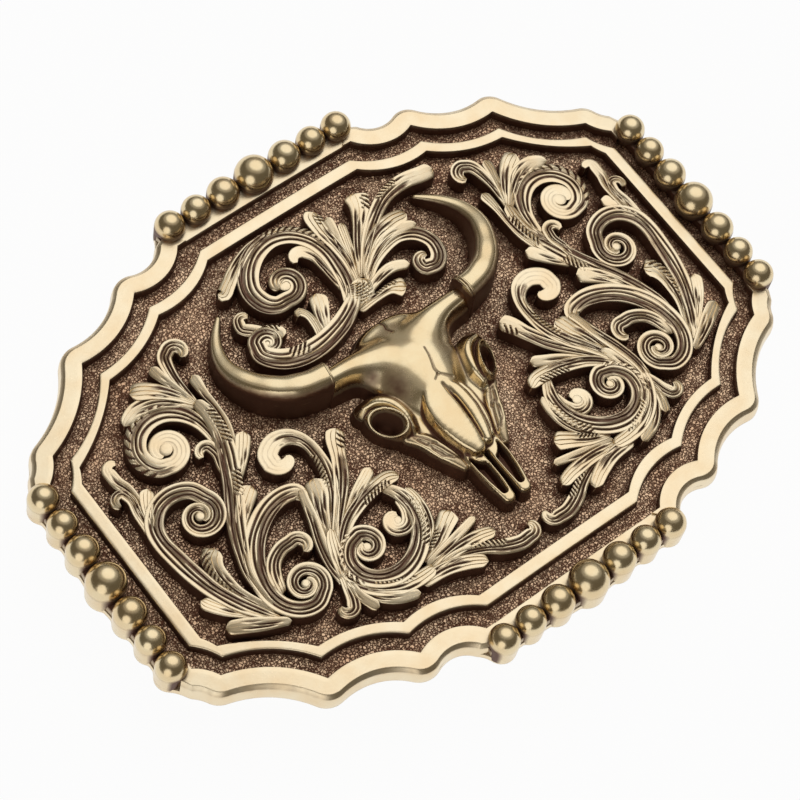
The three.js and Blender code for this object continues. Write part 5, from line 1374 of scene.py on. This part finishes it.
class BUCKLE_OT_skull(bpy.types.Operator):
    """The longhorn skull, one carved relief: forehead, eye sockets, lids, nose, cheeks, prongs"""
    bl_idname = "buckle.skull"
    bl_label = "Skull"

    def execute(self, context):
        x, y = np.meshgrid(np.arange(*SKULL_ACROSS, SKULL_SPACING),
                           np.arange(*SKULL_UP, SKULL_SPACING))
        height, dark = skull_relief(x, y)
        height = blurred(blurred(np.maximum(height, SKULL_LOWEST), 1), 1)
        patina_and_shade = relief_patina_and_shade(height, SKULL_SPACING, dark)
        shape = slab(np.stack([x, y, height], -1), patina_and_shade, SKULL_FOOT,
                     mm(context.scene.buckle_sizes.bend_radius))
        make_piece("skull_relief", shape, "skull gold", "plate", ["skull"], 75.0)
        return {"FINISHED"}


# Horns


# Each horn's middle line: [across, up, height of its axis, radius].
HORN = [[10.65, 4.95, 4.98, 1.75], [13.13, 5.35, 4.8, 1.8], [15.92, 6.6, 4.5, 1.75],
        [18.31, 9.2, 3.95, 1.58], [19.7, 12.4, 3.3, 1.34], [19.6, 15.4, 2.6, 1.05],
        [18.11, 18.3, 1.9, 0.74], [15.52, 21.1, 1.2, 0.3]]
# The rings at each horn's root: their start along it and their radius as a share of the horn's; and
# a ring's length.
ROOT_RINGS = {"left": [(0.0, 1.05)], "right": [(0.0, 1.09), (0.38, 1.13)]}
RING_LENGTH = 0.42
# Points over a horn's upper half, and the level its walls go down to under the field.
HORN_SIDES = 40
HORN_FOOT = -0.3


def horn_grid(points):
    """A horn's closed grid: a rounded upper half, a little flatter than a circle, and walls from
    its sides down into the field; with painted shade on its sides as they turn away from the top,
    darkest on its walls."""
    left = across(points)
    turn = np.linspace(0, np.pi, HORN_SIDES)
    flat = points[:, None, :2] + left[:, None] * (points[:, None, 3] * np.cos(turn))[..., None]
    top = points[:, None, 2] + points[:, None, 3] * np.sqrt(1 - np.abs(np.cos(turn)) ** 2.7)
    walls = []
    for sign in (1, -1):
        for extra, share in ((0.02, 0.75), (0.07, 0.35), (0.14, 0)):
            place = points[:, :2] + left * (sign * (points[:, 3] + extra))[:, None]
            walls.append(lifted(place, points[:, 2] * share if share else HORN_FOOT))
    before, after = np.stack(walls[:3][::-1], 1), np.stack(walls[3:], 1)
    grid = np.concatenate([before, lifted(flat, top), after], 1)
    # Painted shade: the sides darken as they turn away from the top, and the walls are darkest.
    shade = np.interp(np.abs(np.cos(turn)), [0.5, 0.75, 0.92, 1], [0, 0.42, 0.6, 0.88])
    patina_and_shade = np.concatenate([[1, 0.9, 0.65], shade, [0.65, 0.9, 1]])
    return grid, np.broadcast_to(patina_and_shade, grid.shape[:2]).copy()


class BUCKLE_OT_horns(bpy.types.Operator):
    """The two horns with the rings at their roots"""
    bl_idname = "buckle.horns"
    bl_label = "Horns"

    def execute(self, context):
        radius = mm(context.scene.buckle_sizes.bend_radius)
        for name, sign in (("left", -1), ("right", 1)):
            line = even(smooth(HORN, 14), 140)
            for _ in range(60):
                line[1:-1] = (line[:-2] + 2 * line[1:-1] + line[2:]) / 4
            line[:, 0] *= sign
            s = np.linspace(0, 1, len(line))
            line[:, 3] *= 1 + 0.025 * np.sin(s * 40) * (1 - s) ** 2
            line[:, 3] *= np.sqrt(np.clip((1 - s) / 0.02, 0.04, 1))
            grid, patina_and_shade = horn_grid(line)
            shape = Shape()
            shape.add_grid(bend(grid, radius), patina_and_shade.ravel())
            for start, wide in ROOT_RINGS[name]:
                root, way = line[0], line[6] - line[0]
                way = way / np.hypot(*way[:2])
                along = start + np.linspace(0, RING_LENGTH, 9)
                swell = wide - 0.1 * (2 * (along - start) / RING_LENGTH - 1) ** 2
                ring = root + way * along[:, None]
                ring[:, 3] = root[3] * swell
                grid, patina_and_shade = horn_grid(ring)
                patina_and_shade[:, 3:-3] = np.maximum(patina_and_shade[:, 3:-3], (wide - swell)[:, None] * 7)
                shape.add_grid(bend(grid, radius), patina_and_shade.ravel())
            make_piece("horn_curve_" + name, shape, "skull gold", "plate",
                       ["horn_" + name], 50.0)
        return {"FINISHED"}


# The back. Levels here are in the frame's own Z, in millimetres.


def box_section(half_x, half_z, corner, steps):
    """A rectangle with round corners, as [x, z] points in order round it."""
    turn = np.linspace(0, np.pi / 2, steps)
    arc = corner * on_circle(turn)
    inset = np.array([half_x - corner, half_z - corner])
    return np.concatenate([arc + inset, (arc * [-1, 1] + inset * [-1, 1])[::-1], -arc - inset,
                           (arc * [1, -1] + inset * [1, -1])[::-1]])


def hardware_patina(grid, low=0.12):
    """An even, light antiquing for the plain pieces."""
    flat = grid.reshape(-1, 3)
    return low + 0.1 * value_noise(flat[:, 0] + flat[:, 2], flat[:, 1], 1.7, 21)


# Points round the hinge barrel, and the thickness of its wall.
BARREL_SIDES, BARREL_WALL = 72, 0.8
# The strap bail: from the pivot to its far bar, between its arms from the middle, its bar's width
# and thickness, the bend at its corners and how far its arms go on past the pivot.
BAIL_REACH, BAIL_INSIDE, BAIL_WIDTH, BAIL_THICK, BAIL_BEND = 18.0, 20.0, 3.0, 2.4, 2.5
BAIL_END = -1.2
# A pin's [distance from the middle, radius], from its tip to its root in the arm.
PIN = [(14.0, 0.9), (14.06, 1.08), (14.25, 1.24), (14.5, 1.3), (19.9, 1.3), (20.2, 1.3),
       (21.2, 1.3)]
# The hook's foot: rings of its outline, each [share, level from the plate's back].
FOOT_RINGS = [(0.55, 0.03), (0.985, 0.03), (1.0, -0.05), (1.0, -0.75), (0.985, -0.95),
              (0.95, -1.06), (0.9, -1.1), (0.5, -1.1)]


class BUCKLE_OT_hardware(bpy.types.Operator):
    """The back's hinge barrel, strap bail with its pins, and hook with its foot"""
    bl_idname = "buckle.hardware"
    bl_label = "Back hardware"

    def execute(self, context):
        sizes = context.scene.buckle_sizes
        self.barrel(sizes)
        self.bail()
        self.hook(sizes)
        return {"FINISHED"}

    def barrel(self, sizes):
        """A bored tube whose upper half runs up into the plate with a small fillet at each side;
        its two ends are chamfered, and two shallow rings are turned in it near them."""
        low, high = box_of("hinge_barrel")
        outer, half = (high[0] - low[0]) / 2, high[1]
        x, z = (low[0] + high[0]) / 2, low[2] + outer
        bore = outer - BARREL_WALL
        way = on_circle(np.linspace(0, TAU, BARREL_SIDES, endpoint=False))
        upper = way[:, 1] > 0
        top = FIELD - mm(sizes.plate_thickness) - x * x / (2 * mm(sizes.bend_radius)) - z + 0.02
        lift = step_up(way[:, 1], 0.02, 0.35)
        round_side = way * outer
        shoulder = np.stack([np.sign(way[:, 0]) * np.minimum(np.abs(way[:, 0]) * 1.9, 1) * outer,
                             np.minimum(way[:, 1] * outer * 1.6, top)], -1)
        outline = np.where(upper[:, None], round_side + (shoulder - round_side) * lift[:, None],
                           round_side)
        y = np.array([half, half - 0.08, half - 0.3, 18.6, 18.5, 18.2, 18.1])
        scale = np.array([0.9, 0.96, 1, 1, 0.965, 0.965, 1])
        rows = [(a, outline[:, 0] * k, outline[:, 1] * np.where(upper, 1, k))
                for a, k in zip([*y, *-y[::-1]], [*scale, *scale[::-1]])]
        rows += [(a, *(way * radius).T)
                 for a, radius in ((-half, bore + 0.2), (0.25 - half, bore), (half - 0.25, bore),
                                   (half, bore + 0.2))]
        grid = np.array([np.stack([x + u, np.full(len(u), a), z + w], -1) for a, u, w in rows])
        patina_and_shade = hardware_patina(grid)
        patina_and_shade[-4 * BARREL_SIDES:] = 0.85
        shape = Shape()
        shape.add_grid(grid, patina_and_shade, close_rows=True)
        make_piece("hinge_tube", shape, "plain metal", "plate", ["hinge_barrel"])

    def bail(self):
        """The strap bail: a bar with round edges bent round three sides, and a pin at each end."""
        low, high = box_of("hinge_barrel")
        pivot = np.array([(low[0] + high[0]) / 2, 0, low[2] + (high[0] - low[0]) / 2])
        lowest = next(box_of("bail"))[2]
        tilt = np.arctan2(pivot[2] - (lowest + BAIL_THICK / 2), BAIL_REACH)
        arm, straight = BAIL_INSIDE + BAIL_WIDTH / 2, BAIL_REACH - BAIL_BEND
        turn = np.linspace(0, np.pi / 2, 13)
        corner = (np.stack([np.sin(turn), -np.cos(turn)], -1) * BAIL_BEND
                  + [straight, BAIL_BEND - arm])
        inset = 0.5 * (1 - np.cos(np.linspace(0, np.pi / 2, 6)))
        along = np.concatenate([BAIL_END + inset[:-1], np.linspace(BAIL_END, straight, 30)[2:-1]])
        half = np.concatenate([np.stack([along, np.full(len(along), -arm)], -1), corner])
        level = np.linspace(BAIL_BEND - arm, arm - BAIL_BEND, 27)[1:-1]
        middle = np.stack([np.full(len(level), BAIL_REACH), level], -1)
        path = np.concatenate([half, middle, (half * [1, -1])[::-1]])
        side = across(path)
        size = np.ones(len(path))
        size[:5] = 0.66 + 0.34 * np.sin(np.linspace(0, np.pi / 2, 6))[:-1]
        size[-5:] = size[:5][::-1]
        bar = box_section(BAIL_WIDTH / 2, BAIL_THICK / 2, 0.75, 8)
        u, y = (path[:, None, k] + side[:, None, k] * bar[:, 0] * size[:, None] for k in (0, 1))
        w = bar[:, 1] * size[:, None]
        grid = np.stack([pivot[0] - u * np.cos(tilt) - w * np.sin(tilt), y,
                         pivot[2] - u * np.sin(tilt) + w * np.cos(tilt)], -1)
        shape = Shape()
        shape.add_grid(grid, hardware_patina(grid))
        turn = np.linspace(0, TAU, 40, endpoint=False)
        ring = np.stack([np.cos(turn), np.zeros(40), np.sin(turn)], -1)
        for sign in (-1, 1):
            pin = np.array([pivot + [0, sign * a, 0] + ring * r for a, r in PIN])
            shape.add_grid(pin, hardware_patina(pin, 0.2))
        make_piece("strap_bail", shape, "plain metal", "bail", ["bail"], 40.0)

    def hook(self, sizes):
        """The hook: a post that curves over into a round-nosed tip, on a foot that follows the
        plate's back, with a fillet of solder between them."""
        low, high = box_of("hook")
        right, top, tip = high[0], high[2], low[0]
        post = [(1.1, top + 0.3, 1.55, 2.7), (1.1, top, 1.4, 2.5), (1.1, top - 0.35, 1.15, 2.28),
                (1.1, top - 1.2, 1.1, 2.25), (1.1, 3.3, 1.1, 2.25), (1.17, 2.3, 1.1, 2.25),
                (1.55, 1.5, 1.05, 2.25), (2.3, 1.05, 1.0, 2.22), (3.4, 0.96, 0.95, 2.15),
                (5, 0.95, 0.93, 2.05)]
        nose = [(0.75, 0.95, 0.9, 1.95), (0.45, 0.95, 0.84, 1.88), (0.2, 0.95, 0.68, 1.72),
                (0.05, 0.95, 0.42, 1.45)]
        post = [[right - a, *rest] for a, *rest in post]
        nose = [[tip + a, *rest] for a, *rest in nose]
        path = np.concatenate([smooth(post + nose[:1], 8), nose[1:]])
        side = across(path)
        unit = box_section(1, 1, 0.3, 6)
        wide, deep = path[:, None, 3] * unit[:, 0], path[:, None, 2] * unit[:, 1]
        grid = np.stack([path[:, None, 0] + side[:, None, 0] * deep, wide,
                         path[:, None, 1] + side[:, None, 1] * deep], -1)
        shape = Shape()
        shape.add_grid(grid, hardware_patina(grid))
        make_piece("hook_tongue", shape, "plain metal", "plate", ["hook"], 40.0)
        low, high = box_of("hook_foot")
        centre, half = (low + high) / 2, (high - low) / 2
        outline = box_section(half[0], half[1], 1.6, 9)
        share, level = np.array(FOOT_RINGS).T[..., None]
        flat = outline * share[..., None] + centre[:2]
        grid = bend(lifted(flat, level - mm(sizes.plate_thickness)), mm(sizes.bend_radius))
        shape = Shape()
        shape.add_grid(grid, hardware_patina(grid, 0.2))
        make_piece("hook_base", shape, "plain metal", "plate", ["hook_foot"], 40.0)


# Stage


def backdrop_material(value):
    """A pale floor that still takes the object's shadow: seen directly, in a reflection or through
    glass, most of it is plain white."""
    n = Nodes("backdrop")
    path = n.add("LightPath").outputs
    seen = n.math("MAXIMUM", n.math("MAXIMUM", path["Is Camera Ray"], path["Is Glossy Ray"]),
                  path["Is Transmission Ray"])
    diffuse = n.add("BsdfDiffuse", {"Color": rgba(value)}).outputs[0]
    white = n.add("Emission", {"Color": (1, 1, 1, 1), "Strength": 1.0}).outputs[0]
    mixed = n.add("MixShader", {0: n.math("MULTIPLY", seen, 0.95), 1: diffuse, 2: white}).outputs[0]
    n.tree.links.new(mixed, n.add("OutputMaterial").inputs[0])
    return n.material


def add_softbox(name, place, size, strength):
    """An area lamp at a place, turned to face the buckle; strength is its brightness as seen."""
    data = bpy.data.lights.new(name, "AREA")
    data.shape = "ELLIPSE"
    data.size, data.size_y = size
    data.energy = strength * np.pi * size[0] * size[1] * np.pi / 4
    lamp = bpy.data.objects.new(name, data)
    bpy.context.scene.collection.objects.link(lamp)
    lamp.location = place
    way = Vector(LAMP_TARGET) - Vector(place)
    lamp.rotation_euler = way.to_track_quat("-Z", "Y").to_euler()


# The camera: its lens and sensor in millimetres, its place from the buckle's middle and over the
# beads' middles in metres, and how it is turned in degrees.
LENS, SENSOR = 124.78, 36.0
CAMERA_PLACE = (-0.12614, -0.10065, 0.310797)
CAMERA_TURN = (26.016, -6.584, -37.790)
ROOM_COLOUR = (0.13, 0.115, 0.09, 1)
LAMP_TARGET = (0, 0, 0.01)
# The lamps: name, place, size and brightness.
LAMPS = (("key", (0.34, 0.28, 0.80), (1.2, 1.2), 0.85),
         ("halo", (0.36, 0.30, 0.86), (2.4, 2.4), 0.24),
         ("fill", (-0.75, -0.40, 0.35), (0.8, 0.9), 1.05))
# Half of the white floor's side, in metres.
FLOOR_REACH = 3


class BUCKLE_OT_stage(bpy.types.Operator):
    """The camera, the lamps, the world and the white floor"""
    bl_idname = "buckle.stage"
    bl_label = "Stage"

    def execute(self, context):
        scene = context.scene
        data = bpy.data.cameras.new("camera")
        data.lens, data.sensor_width, data.clip_start = LENS, SENSOR, 0.01
        camera = bpy.data.objects.new("camera", data)
        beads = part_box("bead_top_4")[1].z - BEAD_ROW[0][1] * MM
        camera.location = (*CAMERA_PLACE[:2], beads + CAMERA_PLACE[2])
        camera.rotation_euler = np.radians(CAMERA_TURN)
        scene.collection.objects.link(camera)
        scene.camera = camera
        scene.view_settings.view_transform = "Standard"
        world = bpy.data.worlds.new("room")
        world.use_nodes = True
        world.node_tree.nodes["Background"].inputs[0].default_value = ROOM_COLOUR
        scene.world = world
        for lamp in LAMPS:
            add_softbox(*lamp)
        mesh = bpy.data.meshes.new("floor")
        corners = [(x * FLOOR_REACH, y * FLOOR_REACH, 0)
                   for x, y in ((-1, -1), (1, -1), (1, 1), (-1, 1))]
        mesh.from_pydata(corners, [], [(0, 1, 2, 3)])
        mesh.materials.append(backdrop_material(scene.buckle_colours.backdrop))
        floor = bpy.data.objects.new("floor", mesh)
        scene.collection.objects.link(floor)
        return {"FINISHED"}


PIECES = (BUCKLE_OT_plate, BUCKLE_OT_floor, BUCKLE_OT_rims, BUCKLE_OT_beads, BUCKLE_OT_scrollwork,
          BUCKLE_OT_skull, BUCKLE_OT_horns, BUCKLE_OT_hardware, BUCKLE_OT_stage)


class BUCKLE_PT_panel(bpy.types.Panel):
    """The operators in the order in which they are run, and the sizes and colours"""
    bl_idname = "BUCKLE_PT_panel"
    bl_label = "Belt Buckle"
    bl_space_type = "VIEW_3D"
    bl_region_type = "UI"
    bl_category = "Buckle"

    def draw(self, context):
        """The sidebar's boxes of sizes and colours, and a button for each operator."""
        layout = self.layout
        for settings in (context.scene.buckle_sizes, context.scene.buckle_colours):
            box = layout.box()
            for name in settings.__annotations__:
                box.prop(settings, name)
        for piece in PIECES:
            layout.operator(piece.bl_idname)


CLASSES = (BuckleSizes, BuckleColours, *PIECES, BUCKLE_PT_panel)


def register():
    """Makes the classes known and puts the sizes and colours on the scene."""
    for item in CLASSES:
        bpy.utils.register_class(item)
    bpy.types.Scene.buckle_sizes = PointerProperty(type=BuckleSizes)
    bpy.types.Scene.buckle_colours = PointerProperty(type=BuckleColours)


def unregister():
    """Takes back what register did."""
    del bpy.types.Scene.buckle_colours
    del bpy.types.Scene.buckle_sizes
    for item in reversed(CLASSES):
        bpy.utils.unregister_class(item)


def main():
    """Registers the add-on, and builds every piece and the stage."""
    register()
    for piece in PIECES:
        group, name = piece.bl_idname.split(".")
        getattr(getattr(bpy.ops, group), name)()


if __name__ == "__main__":
    main()
